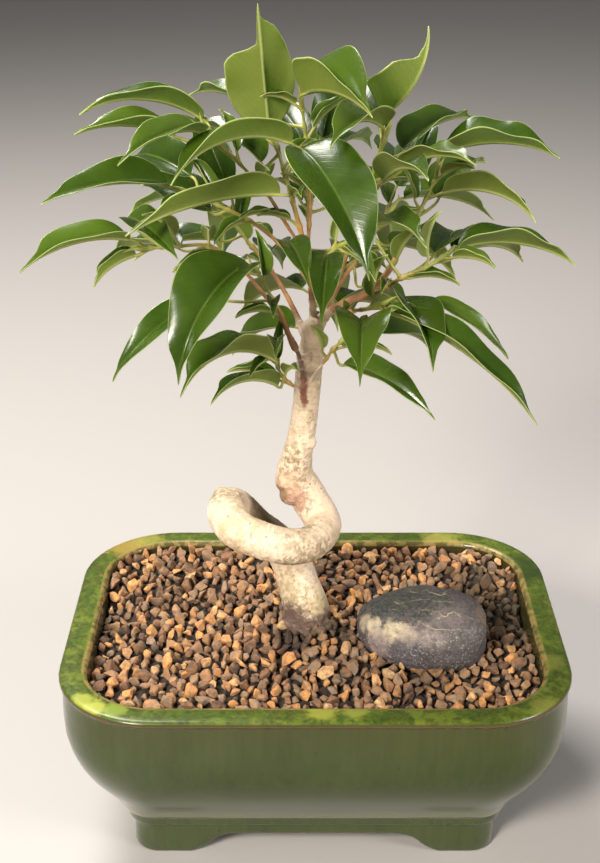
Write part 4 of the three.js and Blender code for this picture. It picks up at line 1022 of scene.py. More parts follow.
# Each limb runs from inside the wood to the end of its twig. Its first `wood` steps are bark.
SPRAYS = {
    "spray_right_high": {
        "limb": [(-1, 5.5, 152), (3.5, 5, 160.5), (9, 1.5, 165.5), (14, 0, 168.5), (19, 0, 173), (25, 5, 182), (34, 11, 199)],
        "wood": 4,
        "radius": (2.4, 0.6),
        "leaves": [
            leaf(1, (36, 10, 207), (67, 2, 207), faces=(0, -0.05, 1), wide=1.25, fold=38),
            leaf(0.8, (36, 8, 196), (60, -8, 191.5), faces=(0.1, 0.7, 1), arch=0.16),
            leaf(0.62, (35, 13, 193), (52, 42, 196)),
        ],
    },
    "spray_right_mid": {
        "limb": [(8, 2, 164.6), (14, -2, 168), (19, -6, 172), (24, -11, 177), (30, -12, 180), (35, -11, 183)],
        "wood": 2,
        "radius": (1.3, 0.6),
        "leaves": [
            leaf(1, (39, -9, 185), (72, -7, 179), faces=(0, 0.15, 1), wide=1.1),
            leaf(0.85, (39, -3, 181), (62, 22, 171)),
            leaf(0.5, (33, -4, 182), (46, 28, 173)),
            leaf(0.35, (15, -12, 192), (27.5, -40, 194), faces=(0, 0, 1), wide=0.9),
        ],
    },
    "spray_right_low": {
        "limb": [(6, 3.2, 162.8), (10, -2, 164), (14, -6, 166), (18, -8, 168)],
        "wood": 1,
        "radius": (1.1, 0.6),
        "leaves": [
            leaf(1, (21, -15, 168), (60, -33, 142), faces=(0.1, -0.05, 1), wide=0.65, arch=0.09),
            leaf(0.85, (22.5, -3, 168), (31, -34, 158), faces=(0.6, -0.5, 1), wide=1.15),
            leaf(0.75, (33, -4, 168), (55.5, -4, 150), faces=(0.2, -0.5, 1), wide=0.6, arch=0.08),
        ],
    },
    "spray_top_front": {
        "limb": [(-0.5, 3, 152), (-1, 6, 164), (-2, 6, 175), (-4, 2, 185), (-8, -1, 201), (-11, 1, 211)],
        "wood": 3,
        "radius": (1.9, 0.65),
        "leaves": [
            leaf(1, (-13, 2, 215), (-15.4, -8, 249.5), faces=(-0.2, 1, 0.2), arch=0.02, wide=1.45, fold=24),
            leaf(0.75, (-7, -14, 215), (-37, -36, 209), faces=(0, 0.35, 1), arch=0.17),
            leaf(0.5, (-10, -13, 201), (-49, -36, 196), faces=(-0.1, 0.5, 1), arch=0.07, wide=0.9),
            leaf(0.9, (-15, 2, 206), (-36, 22, 212)),
            leaf(0.65, (-4, -18, 214), (13, -45, 187), faces=(0.4, -0.8, 0.5), wide=1.4, arch=0.12),
        ],
    },
    "spray_top_mid": {
        "limb": [(-2, 6, 175), (-2, 9, 186), (-2, 9, 198), (-3, 7, 212), (-4, 3, 221)],
        "wood": 1,
        "radius": (1.1, 0.6),
        "leaves": [
            leaf(1, (-3.7, -2, 225.4), (13.7, -30, 224.8), wide=1.5, arch=0.1, fold=62),
            leaf(0.8, (-15, 14, 217), (-37, 34, 218)),
            leaf(0.5, (-3, 15, 206), (-14, 40, 214)),
        ],
    },
    "spray_top_right": {
        "limb": [(1, 6, 158), (6, 11, 168), (11, 8, 184), (15, 4, 200), (19, 3, 213)],
        "wood": 1,
        "radius": (1.3, 0.65),
        "leaves": [
            leaf(1, (18.1, 1, 219.7), (28.7, -6, 243.4), faces=(-0.6, 0.5, 0.4), wide=1.1, arch=-0.15),
            leaf(0.95, (17, 9, 216), (4, 32, 221), arch=0.16),
            leaf(0.85, (24, 4, 209), (47, 28, 212)),
            leaf(0.9, (17.5, -3, 217), (3, -30, 217), faces=(0.2, 0.35, 1), wide=1.15, arch=0.14),
            leaf(0.7, (22, 9, 203), (24, 42, 198)),
            leaf(0.55, (18, -6, 203), (27.9, -34, 209.7), faces=BACK),
            leaf(0.65, (24, 0, 205), (41.5, -20, 210.3)),
        ],
    },
    "spray_left_front": {
        "limb": [(-3.4, 0.5, 136), (-3.7, -1.6, 143), (-4.6, -3, 150), (-6.8, -5.5, 156.5), (-9, -8.5, 163.5), (-11.5, -12, 170), (-14, -16, 176), (-16, -19, 181)],
        "wood": 4,
        "radius": (1.3, 0.6),
        "leaves": [
            leaf(1, (-18, -22, 184), (-36, -46, 159), faces=(-0.45, -0.8, 0.5), wide=1.3, arch=0.22),
            leaf(0.4, (-31, -13, 171), (-56, -24, 151), faces=(0, -0.6, 1), arch=0.16, wide=0.65),
        ],
    },
    "spray_left_low": {
        "limb": [(-3, 1, 136), (-4.6, -1.6, 139.6), (-6.8, -4, 142), (-9.5, -7, 146), (-12, -11, 153)],
        "wood": 2,
        "radius": (1, 0.55),
        "leaves": [
            leaf(0.9, (-12, -16, 155), (-36, -42, 154), faces=(0, 0.3, 1), arch=0.2, wide=1.2),
            leaf(1, (-11, -18, 160), (-10.8, -42, 165), faces=(0, -0.5, 1), wide=0.55),
            leaf(0.3, (-11, -6, 143), (-29, -28, 146), faces=(0, 0.5, 1), arch=0.15, wide=0.8),
        ],
    },
    "spray_left_mid": {
        "limb": [(-5.8, -4.5, 153.5), (-11, -4, 164), (-21, -6, 178), (-29, -12, 186), (-38, -19, 188), (-45, -24, 189)],
        "wood": 2,
        "radius": (1.3, 0.6),
        "leaves": [
            leaf(1, (-49, -28, 193), (-75, -45, 189), faces=(0, -0.1, 1), wide=0.95),
            leaf(0.85, (-51, -12, 194), (-36, -31, 188), faces=(-0.3, -0.1, 1)),
            leaf(0.4, (-38, -3, 183), (-60, 22, 170), faces=(0, -0.2, 1), wide=0.9),
        ],
    },
    "spray_left_high": {
        "limb": [(-3, 4, 179), (-8, 4, 187), (-14, 0, 198), (-22, -4, 208), (-28, -4, 215)],
        "wood": 1,
        "radius": (1, 0.55),
        "leaves": [
            leaf(1, (-31, 2, 218), (-63, -8, 221), faces=(0, 0.1, 1), arch=0.15),
            leaf(0.9, (-38, -7, 215.5), (-62.5, -22, 218.8), faces=(0, -0.1, 1), wide=0.95, arch=0.1, fold=34),
            leaf(0.75, (-30, -14, 218), (-49, -44, 216), faces=(0, -0.3, 1), wide=0.75, arch=0.1),
        ],
    },
    "spray_left_back": {
        "limb": [(-2, 7, 170), (-8, 9, 178), (-18, 8, 187), (-28, 5, 193), (-36, 0, 198)],
        "wood": 1,
        "radius": (1.1, 0.6),
        "leaves": [
            leaf(1, (-40, -8, 202), (-72, -24, 201), faces=(0, -0.4, 1), wide=0.95, arch=0.1),
            leaf(0.85, (-35, 6, 201), (-54, 34, 199), faces=LEFT),
            leaf(0.6, (-30, 10, 190), (-52, 34, 191), faces=LEFT),
        ],
    },
    "spray_front_right": {
        "limb": [(-1.5, 1, 140.5), (-1, -1.8, 143.6), (2.4, -3.5, 149), (5.2, -4.6, 153.5), (10, -5.5, 158.5)],
        "wood": 2,
        "radius": (1, 0.55),
        "leaves": [
            leaf(1, (13, -10, 163), (11, -45, 158), faces=(0, -0.3, 1), wide=1.2, arch=0.2),
            leaf(0.4, (8, -5, 149), (33, -25, 140), faces=(0.1, -0.4, 1), wide=0.75, arch=0.12),
            leaf(0.7, (18, 2, 156), (36, 26, 140), faces=RIGHT),
        ],
    },
    "spray_front_mid": {
        "limb": [(-3, 4, 178), (-1, -2, 181), (3, -7, 183), (6, -12, 186)],
        "wood": 1,
        "radius": (0.9, 0.55),
        "leaves": [
            leaf(1, (3, -13, 184), (1, -38, 172), faces=(0, -0.5, 1), wide=0.9),
            leaf(0.5, (-8, -5, 185), (-2, -30, 180), faces=(0, -0.5, 1), wide=0.9),
        ],
    },
    "spray_back_right": {
        "limb": [(0, 5, 154), (4, 12, 161), (10, 20, 169), (17, 27, 177), (23, 33, 184)],
        "wood": 2,
        "radius": (1.6, 0.6),
        "leaves": [
            leaf(1, (27, 36, 187), (56, 46, 177)),
            leaf(0.85, (22, 37, 184), (26, 57, 156), faces=(0, 1, 0.8)),
            leaf(0.55, (22, 24, 176), (44, 38, 160)),
            leaf(0.4, (11, 28, 172), (8, 55, 157), faces=(0, 1, 0.8)),
            leaf(0.1, (14, 18, 165), (32, 32, 146), faces=RIGHT),
            leaf(0.75, (25, 38, 190), (38, 52, 210), faces=(0, -1, 0.3), arch=0.06),
        ],
    },
    "spray_back_left": {
        "limb": [(-3, 5, 154), (-7, 12, 161), (-13, 20, 169), (-21, 27, 177), (-27, 32, 184)],
        "wood": 2,
        "radius": (1.6, 0.6),
        "leaves": [
            leaf(1, (-31, 35, 187), (-58, 48, 178)),
            leaf(0.85, (-26, 36, 184), (-30, 57, 158), faces=(0, 1, 0.8)),
            leaf(0.6, (-28, 22, 178), (-54, 20, 172)),
            leaf(0.4, (-14, 28, 172), (-10, 56, 158), faces=(0, 1, 0.8)),
            leaf(0.15, (-20, 19, 169), (-44, 32, 155), faces=LEFT),
            leaf(0.75, (-26, 36, 190), (-37, 50, 212), faces=(0, -1, 0.3), arch=0.06),
        ],
    },
    "spray_back_low": {
        "limb": [(-1, 5, 148), (-1, 12, 153), (0, 20, 158), (2, 28, 162)],
        "wood": 1,
        "radius": (1.3, 0.6),
        "leaves": [
            leaf(1, (3, 33, 163), (8, 57, 136), faces=(0, 1, 0.8)),
            leaf(0.7, (-4, 28, 161), (-24, 50, 144), faces=(-0.3, 0.8, 1)),
            leaf(0.5, (7, 23, 158), (32, 44, 142), faces=(0.3, 0.8, 1)),
            leaf(0.25, (-6, 16, 153), (-26, 36, 136), faces=LEFT),
        ],
    },
    "spray_back_high": {
        "limb": [(-2, 6, 172), (-2, 14, 182), (-1, 20, 193), (0, 25, 203)],
        "wood": 1,
        "radius": (1.1, 0.6),
        "leaves": [
            leaf(1, (2, 28, 207), (8, 44, 228), faces=(0, -1, 0.5), arch=0.06),
            leaf(0.9, (-4, 29, 204), (-26, 52, 202)),
            leaf(0.8, (5, 29, 203), (18, 57, 197)),
            leaf(0.6, (0, 28, 196), (-2, 57, 176), faces=(0, 1, 0.8)),
            leaf(0.25, (4, 18, 190), (30, 24, 195), faces=RIGHT),
        ],
    },
}
# Blades whose halves, left and right of the midrib seen from the stalk, have grown unevenly: pairs
# of a share of the length and how wide the half is there, against an even blade.
SPRAYS["spray_top_front"]["leaves"][0].update(
    right=[(0, 0.93), (0.2, 0.93), (0.4, 1.0), (0.5, 1.12), (0.56, 1.03), (0.62, 0.2), (0.7, 0.1), (1, 0.3)],
    left=[(0, 0.9), (0.2, 0.85), (0.5, 0.9), (0.65, 0.95), (0.76, 1), (0.81, 0.75), (0.86, 0.4), (1, 0.5)],
)
SPRAYS["spray_top_mid"]["leaves"][0].update(
    right=[(0, 1.15), (0.12, 1.15), (0.25, 0.9), (0.4, 0.8), (0.6, 0.75), (1, 1)],
    left=[(0, 1), (0.3, 1.1), (0.6, 1.25), (0.8, 1.3), (1, 1)],
)
SPRAYS["spray_top_right"]["leaves"][0].update(
    right=[(0, 1), (0.15, 1.5), (0.25, 1.9), (0.5, 2), (0.62, 1.9), (0.68, 0.4), (1, 0.6)],
    left=[(0, 0.5), (0.6, 0.5), (0.75, 1), (1, 1)],
)
SPRAYS["spray_left_front"]["leaves"][0]["left"] = [(0, 1), (0.4, 0.93), (1, 1)]
# Leaves given a set tone, from 0, dark, to 1, pale: the one at 0 is darkened as painted shade, and those at 1 are paler
# as painted highlights.
for name, number, tone in (
    ("spray_top_front", 4, 0),
    ("spray_top_front", 0, 1),
    ("spray_left_mid", 0, 1),
    ("spray_left_high", 1, 1),
    ("spray_left_high", 2, 1),
    ("spray_right_low", 2, 1),
):
    SPRAYS[name]["leaves"][number]["tone"] = tone
SPRAYS["spray_top_front"]["leaves"][4]["left"] = [(0, 1), (0.3, 0.85), (1, 0.9)]
for spray in SPRAYS.values():
    spray["line"] = SmoothLine(spray["limb"])
    steps = np.linalg.norm(np.diff(np.array(spray["limb"], float), axis=0), axis=1)
    spray["bark"] = steps[: spray["wood"]].sum() / steps.sum()
print("sprays:", len(SPRAYS), "leaves:", sum(len(spray["leaves"]) for spray in SPRAYS.values()))

# %% Sweep the stem and the limbs, and melt them together
trunk_line = SmoothLine([point[:3] for point in TRUNK])
trunk_shares = np.linspace(0, 1, 300)
trunk_radii = np.interp(trunk_shares, trunk_line.knots, [point[3] for point in TRUNK])
softened = np.convolve(np.pad(trunk_radii, 6, "edge"), np.ones(13) / 13, "valid")
wood_points, wood_faces, LIMB_SLIMNESS = [], [], 0.62


def add_wood(rings):
    wood_faces.extend(skin(rings, len(wood_points)) + ends(rings, len(wood_points)))
    wood_points.extend(point for ring in rings for point in ring)


add_wood(tube(trunk_line, softened, trunk_shares, 40, rounded=(False, True)))
for spray in SPRAYS.values():
    shares = np.linspace(0, spray["bark"], 24)
    radii = np.interp(shares, (0, 1), spray["radius"]) * LIMB_SLIMNESS
    collar = 1 + 0.5 * np.exp(-((shares * spray["line"].length / 4) ** 2))
    add_wood(tube(spray["line"], radii * collar, shares, 16))
ROOT_LUMPS = [((-8, -1.8, 60.8), 2.3), ((-5.6, -4.4, 60.2), 2.1), ((-9.6, 1, 60), 2), ((-2.4, -5.6, 59.6), 1.7), ((2, -5, 59.8), 1.9), ((5.6, -2.4, 60), 2)]
for place, radius in KNOTS + ROOT_LUMPS:
    ball = bmesh.new()
    bmesh.ops.create_icosphere(ball, subdivisions=3, radius=radius)
    lump = [np.array(place) + v.co.normalized() * radius for v in ball.verts]
    wood_faces.extend([v.index + len(wood_points) for v in face.verts] for face in ball.faces)
    wood_points.extend(lump)
    ball.free()

trunk = new_piece("trunk_and_limbs", wood_points, wood_faces, [])
remesh = trunk.modifiers.new("melt", "REMESH")
remesh.mode, remesh.voxel_size = "VOXEL", 0.42 * MM
smooth = trunk.modifiers.new("soften", "SMOOTH")
smooth.factor, smooth.iterations = 0.6, 5
bpy.context.view_layer.update()
melted = bpy.data.meshes.new_from_object(trunk.evaluated_get(bpy.context.evaluated_depsgraph_get()))
trunk.modifiers.clear()
trunk.data = melted
print("points in the trunk's skin:", len(melted.vertices))

# %% [markdown]
# Marks on bark run round the stem, whichever way the stem bends. So each point of the skin gets
# straightened coordinates: how far it is across the stem's line in two directions, and how far
# along it. A pattern that reads them follows the coil as real bark does.

# %% Straightened coordinates, and the bark's relief
lines = [(trunk_line, 0)] + [(spray["line"], 1) for spray in SPRAYS.values()]
samples = []
for line, is_limb in lines:
    last = 1 if not is_limb else next(s["bark"] for s in SPRAYS.values() if s["line"] is line)
    for share in np.linspace(0, last, max(int(line.length * last), 4)):
        samples.append((line, is_limb, share))
tree_of_samples = kdtree.KDTree(len(samples))
centres, reaches = [], []
for number, (line, is_limb, share) in enumerate(samples):
    centre = line.along(share)
    centres.append(centre)
    reaches.append(np.linalg.norm(trunk_line.samples - centre, axis=1).min())
    if is_limb and reaches[-1] < 4.2:
        centre = np.array((999.0, 999.0, 999.0 + number))
    tree_of_samples.insert(Vector(centre), number)
tree_of_samples.balance()

skin_points = np.zeros(len(melted.vertices) * 3)
melted.vertices.foreach_get("co", skin_points)
skin_points = skin_points.reshape(-1, 3) / MM
normals = np.zeros_like(skin_points).ravel()
melted.vertices.foreach_get("normal", normals)
normals = normals.reshape(-1, 3)
straight, youth = np.zeros_like(skin_points), np.zeros(len(skin_points))
for i, point in enumerate(skin_points):
    _, number, _ = tree_of_samples.find(Vector(point))
    line, is_limb, share = samples[number]
    away = point - centres[number]
    ahead, side, other = (line.along(share, field) for field in ("ahead", "side", "other"))
    straight[i] = (away @ side, away @ other, share * line.length + away @ ahead + 300 * is_limb * (number % 7))
    youth[i] = min(max((reaches[number] - 4.6) / 8, 0), 1) if is_limb else 0

moved = np.zeros(len(skin_points))
for i, (point, q) in enumerate(zip(skin_points, straight)):
    lumps = noise.noise(Vector(q * (0.16, 0.16, 0.1)))
    wrinkles = noise.noise(Vector(q * (0.35, 0.35, 1.5)))
    knob = noise.noise(Vector(point * 0.9 + 40))
    rough = 1.6 if 103 < point[2] < 122 else 1
    thin = 0.35 if youth[i] > 0.3 else 1
    moved[i] = thin * (0.34 * lumps + rough * (0.1 * wrinkles + 0.12 * max(knob, 0)))
skin_points += normals * moved[:, None]
melted.vertices.foreach_set("co", (skin_points * MM).ravel())
for name, kind, field, values in (("bark", "FLOAT_VECTOR", "vector", straight), ("youth", "FLOAT", "value", youth)):
    melted.attributes.new(name, kind, "POINT").data.foreach_set(field, values.astype(np.float32).ravel())
melted.polygons.foreach_set("use_smooth", [True] * len(melted.polygons))
melted.update()
print("relief in the bark: from", round(moved.min(), 2), "to", round(moved.max(), 2), "mm")

# %% [markdown]
# ## The bark
# The bark is pale cream. Over that lie green-grey flecks of algae, short dark marks that run round
# the stem, and warmer rust where the wood is young or was cut. The named places below are the
# scars and stains that this tree has, besides two dark places at the back of the coil that are
# painted shade; each is a soft spot of colour round one point.

# %% The bark's finish
bark, tree, shader = new_finish("fig_bark", Roughness=0.72)
place, along = place_of(tree), note_of(tree, "bark", "Vector")


def round_marks(tree, stretch, scale, low, high):
    """Short marks that run round the stem."""
    vector = node(tree, "ShaderNodeVectorMath", {0: along, 1: stretch}, operation="MULTIPLY").outputs[0]
    return fade(tree, noise_of(tree, vector, scale, 3, 0.6), low, high)


clouds = effect(tree, mottling, Vector=place, Scale=110, Softness=0.2)
colour = blend(tree, clouds, (0.66, 0.5, 0.35, 1), (0.77, 0.61, 0.46, 1))
algae = effect(tree, mottling, Vector=place, Scale=330, Softness=0.1)
algae = calc(tree, "MULTIPLY", algae, effect(tree, mottling, Vector=place, Scale=60, Softness=0.15))
colour = blend(tree, calc(tree, "MULTIPLY", algae, 0.6), colour, (0.34, 0.27, 0.13, 1))
marks = round_marks(tree, (0.5, 0.5, 2.6), 0.9, 0.6, 0.7)
colour = blend(tree, calc(tree, "MULTIPLY", marks, 0.6), colour, (0.3, 0.24, 0.14, 1))
dots = effect(tree, specks, Vector=place, Scale=620, Size=0.3, Share=0.14)
colour = blend(tree, calc(tree, "MULTIPLY", dots, 0.75), colour, (0.14, 0.12, 0.07, 1))
young = note_of(tree, "youth")
rust = blend(tree, clouds, (0.2, 0.08, 0.03, 1), (0.42, 0.22, 0.09, 1))
colour = blend(tree, fade(tree, young, 0.15, 0.6), colour, rust)
SCURF = [
    ((-9, -1, 108.5), 8, (0.22, 0.14, 0.07), 0.8),
    ((-5, -1, 102), 5, (0.24, 0.13, 0.08), 0.75),
    ((-6.5, 0.5, 117), 5, (0.24, 0.17, 0.09), 0.8),
    ((-6, -13, 90), 12, (0.2, 0.15, 0.07), 0.75),
    ((-22, -16, 95), 8, (0.26, 0.19, 0.09), 0.6),
    ((-28, 0, 106), 8, (0.24, 0.18, 0.085), 0.75),
    # painted shade: the next place darkens the back of the coil, inside the turn
    ((-16, 10, 92), 8, (0.12, 0.09, 0.04), 0.8),
    ((-9, 1, 71), 7, (0.24, 0.18, 0.08), 0.8),
    ((-2, -4, 64), 8, (0.26, 0.2, 0.085), 0.7),
    ((1, -5, 76), 8, (0.3, 0.24, 0.12), 0.55),
    ((2, -12, 88), 9, (0.3, 0.22, 0.11), 0.55),
    ((-1.5, -1, 125), 5, (0.34, 0.25, 0.15), 0.5),
]
flaking = effect(tree, mottling, Vector=place, Scale=650, Softness=0.07)
colour = stained(tree, colour, place, SCURF, 240, flaking)
# place, reach, colour, strength
STAINS = [
    ((-3.3, -1, 133.6), 1.2, (0.2, 0.06, 0.035), 0.8),
    ((-3.3, -1, 135.2), 1.4, (0.16, 0.045, 0.03), 0.9),
    ((-3.4, -1.1, 136.9), 1.4, (0.2, 0.06, 0.035), 0.9),
    ((-3.4, -1.3, 138.6), 1.4, (0.17, 0.05, 0.03), 0.9),
    ((-3.5, -1.6, 140.4), 1.5, (0.22, 0.08, 0.045), 0.9),
    ((-3.7, -2.1, 142.6), 1.6, (0.24, 0.09, 0.05), 0.9),
    ((-4, -2.7, 145), 1.7, (0.2, 0.08, 0.045), 0.85),
    ((-4.4, -3.2, 148), 1.8, (0.13, 0.06, 0.04), 0.85),
    ((-4.8, -3.6, 151), 1.8, (0.09, 0.045, 0.03), 0.85),
    ((-9, -1, 108), 5, (0.5, 0.32, 0.2), 0.6),
    ((-5.5, -0.5, 102.5), 4, (0.42, 0.22, 0.15), 0.65),
    ((-11, 1, 104), 3.5, (0.2, 0.11, 0.06), 0.8),
    ((-8.5, -2.6, 110.5), 1.2, (0.1, 0.05, 0.03), 0.9),
    ((-4.4, -1, 112.3), 1.3, (0.06, 0.06, 0.06), 0.95),
    # painted shade: the next place darkens the back of the coil, inside the turn
    ((-13, 10, 90), 9, (0.1, 0.075, 0.035), 0.9),
    ((-19, 8, 95), 5, (0.24, 0.18, 0.09), 0.7),
    ((-31, 0, 103), 3.5, (0.24, 0.19, 0.09), 0.7),
    ((-30, -4, 96), 4, (0.45, 0.33, 0.18), 0.6),
    ((-22, -16, 94), 5, (0.42, 0.3, 0.16), 0.6),
    ((-6, -12, 89.5), 8, (0.38, 0.28, 0.15), 0.65),
    ((3, -2, 90), 5, (0.36, 0.27, 0.15), 0.6),
    ((-8, 1, 71), 5, (0.42, 0.33, 0.19), 0.6),
    ((0.5, 0, 66), 5, (0.4, 0.32, 0.16), 0.6),
    ((-7.5, -3.5, 62), 6.5, (0.085, 0.045, 0.038), 0.95),
    ((-1.5, -5.5, 60), 5, (0.1, 0.06, 0.045), 0.9),
    ((4.5, -3, 60.5), 5.5, (0.11, 0.065, 0.05), 0.9),
]
colour = stained(tree, colour, place, STAINS, 600)
crumbs = effect(tree, mottling, Vector=place, Scale=520, Softness=0.1)
muddy = fade(tree, node(tree, "ShaderNodeSeparateXYZ", {"Vector": place}).outputs["Z"], 65.5 * MM, 61.5 * MM)
muddy = calc(tree, "MULTIPLY", muddy, crumbs)
colour = blend(tree, calc(tree, "MULTIPLY", muddy, 0.6), colour, (0.26, 0.17, 0.12, 1))
tree.links.new(colour, shader.inputs["Base Color"])
tree.links.new(level(tree, clouds, 0.6, 0.85), shader.inputs["Roughness"])
fine = noise_of(tree, place, 900, 5, 0.7)
height = calc(tree, "SUBTRACT", calc(tree, "MULTIPLY", fine, 0.5), calc(tree, "MULTIPLY", marks, 0.35))
height = calc(tree, "ADD", height, calc(tree, "MULTIPLY", muddy, 1.5))
tree.links.new(bump(tree, height, 0.3), shader.inputs["Normal"])
melted.materials.clear()
melted.materials.append(bark)
stand_in(trunk, "bark", "trunk")

# %% [markdown]
# ## The leaves
# A weeping fig's leaf is an oval that draws out into a long drip tip. It is folded up along its
# midrib and arches down; the upper side is waxy and dark, the under side is matt and pale, and a
# thin pale line runs round the margin. Each blade here is a closed sheet: two skins a third of a
# millimetre apart, joined round the edge, with a groove along the top of the midrib and a ridge
# below it. Notes on each point say how far it is across and along the blade, so that the finish can
# draw veins that start at the midrib and bend towards the tip.

# %% One blade
BLADE_STATIONS = np.concatenate([[0, 0.008, 0.02, 0.04], np.linspace(0.07, 0.9, 26), [0.925, 0.95, 0.97, 0.985, 1]])
ACROSS = np.array((-1, -0.97, -0.9, -0.75, -0.58, -0.4, -0.24, -0.12, -0.05, 0, 0.05, 0.12, 0.24, 0.4, 0.58, 0.75, 0.9, 0.97, 1))
LEAF_WIDTH_SHARE, LEAF_ARCH_SHARE, LEAF_FOLD = 0.43, 0.12, 30


def unit(vector):
    return np.asarray(vector, float) / np.linalg.norm(vector)


def bezier(a, b, c, d, t):
    t = np.asarray(t)[..., None]
    return (1 - t) ** 3 * a + 3 * t * (1 - t) ** 2 * b + 3 * t**2 * (1 - t) * c + t**3 * d


def blade_frame(spec):
    base, tip = np.array(spec["base"], float), np.array(spec["tip"], float)
    length = np.linalg.norm(tip - base)
    along = (tip - base) / length
    faces = np.array(spec.get("faces", (0, 0, 1)), float)
    up = unit(faces - along * (faces @ along))
    rise = length * spec.get("arch", LEAF_ARCH_SHARE) * 1.3
    stations = (base, base + along * length * 0.3 + up * rise, base + along * length * 0.75 + up * rise, tip)
    return length, along, up, np.cross(along, up), stations


def blade_sheet(spec, seed):
    """The blade's upper surface as a grid of points, with normals and notes for the finish."""
    length, along, up, across, stations = blade_frame(spec)
    rng = np.random.default_rng(seed)
    t = BLADE_STATIONS
    middle = bezier(*stations, t)
    ahead = np.gradient(middle, t, axis=0)
    ahead /= np.linalg.norm(ahead, axis=1)[:, None]
    normal = np.cross(across, ahead)
    normal /= np.linalg.norm(normal, axis=1)[:, None]
    widest = length * LEAF_WIDTH_SHARE * spec.get("wide", 1) / 2
    s, tail = ACROSS[None, :], rng.uniform(0.66, 0.8)
    half = widest * t**0.6 * (1 - t) ** 1.35 / 0.3
    half = half * (1 - 0.45 * np.clip((t - tail) / 0.12, 0, 1) ** 2 * (3 - 2 * np.clip((t - tail) / 0.12, 0, 1)))
    left, right = (half * np.interp(t, *zip(*spec.get(side, [(0, 1), (1, 1)]))) for side in ("left", "right"))
    half = np.where(s < 0, left[:, None], right[:, None])
    drip = 0.8 * np.clip((1 - t) / 0.2, 0, 1) ** 0.7
    half = np.maximum(half, np.where(t > 0.5, drip, 0.35)[:, None]) * np.clip((1 - t) / 0.015 + 0.12, 0, 1)[:, None]
    fold = math.radians(spec.get("fold", LEAF_FOLD))
    hollow, phase, waves = rng.uniform(0.25, 0.6), rng.uniform(0, 6, 2), rng.uniform(1.6, 3.2)
    lift = (1 + hollow) * np.abs(s) - hollow * s**2
    ripple = np.where(s < 0, np.sin(t[:, None] * waves * 6 + phase[0]), np.sin(t[:, None] * waves * 5.4 + phase[1]))
    envelope = (t * (1 - t) * 4)[:, None]
    high = half * math.sin(fold) * lift + 0.09 * widest * ripple * np.abs(s) ** 2.2 * envelope
    high = high - 0.2 * np.exp(-((s * half / 0.5) ** 2)) * envelope**0.5
    wide = half * math.cos(fold) * s
    points = middle[:, None] + wide[..., None] * across + high[..., None] * normal[:, None]
    notes = np.stack([s * half, np.broadcast_to(t[:, None] * length, high.shape), np.broadcast_to(np.abs(s), high.shape)], -1)
    return points, normal, notes, half, length


def blade_mesh(spec, seed):
    """Points, faces, notes and which faces are on the upper side."""
    top, normal, notes, half, length = blade_sheet(spec, seed)
    rows, columns = top.shape[:2]
    t = BLADE_STATIONS[:, None]
    ridge = np.exp(-((ACROSS[None, :] * half / 0.42) ** 2)) * 0.55 * np.clip(1.05 - t, 0, 1) ** 0.7
    thick = 0.3 + ridge
    inner = slice(1, columns - 1)
    below = top[:, inner] - (thick[:, inner, None] * normal[:, None])
    points = np.vstack([top.reshape(-1, 3), below.reshape(-1, 3)])
    marks = np.vstack([notes.reshape(-1, 3), notes[:, inner].reshape(-1, 3)])
    upper = lambda r, c: r * columns + c
    lower = lambda r, c: upper(r, c) if c in (0, columns - 1) else rows * columns + r * (columns - 2) + c - 1
    faces, is_upper = [], []
    for r in range(rows - 1):
        for c in range(columns - 1):
            faces.append((upper(r, c), upper(r, c + 1), upper(r + 1, c + 1), upper(r + 1, c)))
            faces.append((lower(r, c), lower(r + 1, c), lower(r + 1, c + 1), lower(r, c + 1)))
            is_upper += [1, 0]
    for r, order in ((0, 1), (rows - 1, -1)):
        loop = [upper(r, c) for c in range(columns)] + [lower(r, c) for c in range(columns - 2, 0, -1)]
        faces.append(tuple(loop[::-order]))
        is_upper.append(1)
    return points, faces, marks, is_upper


points, faces, _, _ = blade_mesh(leaf(1, (0, 0, 0), (40, 0, 0)), 1)
print("one blade:", len(points), "points and", len(faces), "faces")

# %% [markdown]
# ## The leaves' finish
# The notes drive everything. Side veins are thin lines at an even distance along the midrib, bent
# forward as they go out. The upper side is dark green under a smooth wax that mirrors the room;
# the under side is yellow-green and hardly shines. A little light passes through such a thin
# blade, which subsurface scattering imitates.

# %% Leaf and twig finishes
leaf_finish, tree, shader = new_finish("fig_leaf", Specular_IOR_Level=0.36, Subsurface_Weight=0.12, Subsurface_Scale=0.002)
shader.inputs["Subsurface Radius"].default_value = (0.5, 1, 0.15)
place, notes = place_of(tree), node(tree, "ShaderNodeSeparateXYZ", {"Vector": note_of(tree, "blade", "Vector")}).outputs
side, forward, rim = calc(tree, "ABSOLUTE", notes["X"]), notes["Y"], notes["Z"]
upper, tone = note_of(tree, "upper"), note_of(tree, "tone")
sweep_back = calc(tree, "MULTIPLY", calc(tree, "POWER", side, 1.15), 0.62)
vein_place = calc(tree, "PINGPONG", calc(tree, "SUBTRACT", forward, sweep_back), 1.15)
veins = fade(tree, vein_place, 0.22, 0.0)
fine_veins = fade(tree, calc(tree, "PINGPONG", calc(tree, "SUBTRACT", forward, sweep_back), 0.38), 0.16, 0)
midrib = fade(tree, side, 0.62, 0.22)
margin = fade(tree, rim, 0.962, 0.99)
clouds = effect(tree, mottling, Vector=place, Scale=75, Softness=0.25)
top = blend(tree, clouds, (0.018, 0.038, 0.003, 1), (0.034, 0.064, 0.005, 1))
top = blend(tree, calc(tree, "MULTIPLY", fade(tree, tone, 0.3, 1), 0.6), top, (0.07, 0.115, 0.01, 1))
top = blend(tree, calc(tree, "MULTIPLY", veins, 0.1), top, (0.06, 0.11, 0.015, 1))
top = blend(tree, calc(tree, "MULTIPLY", midrib, 0.35), top, (0.1, 0.15, 0.025, 1))
under = blend(tree, clouds, (0.08, 0.11, 0.014, 1), (0.115, 0.145, 0.022, 1))
under = blend(tree, calc(tree, "MULTIPLY", tone, 0.5), under, (0.155, 0.175, 0.028, 1))
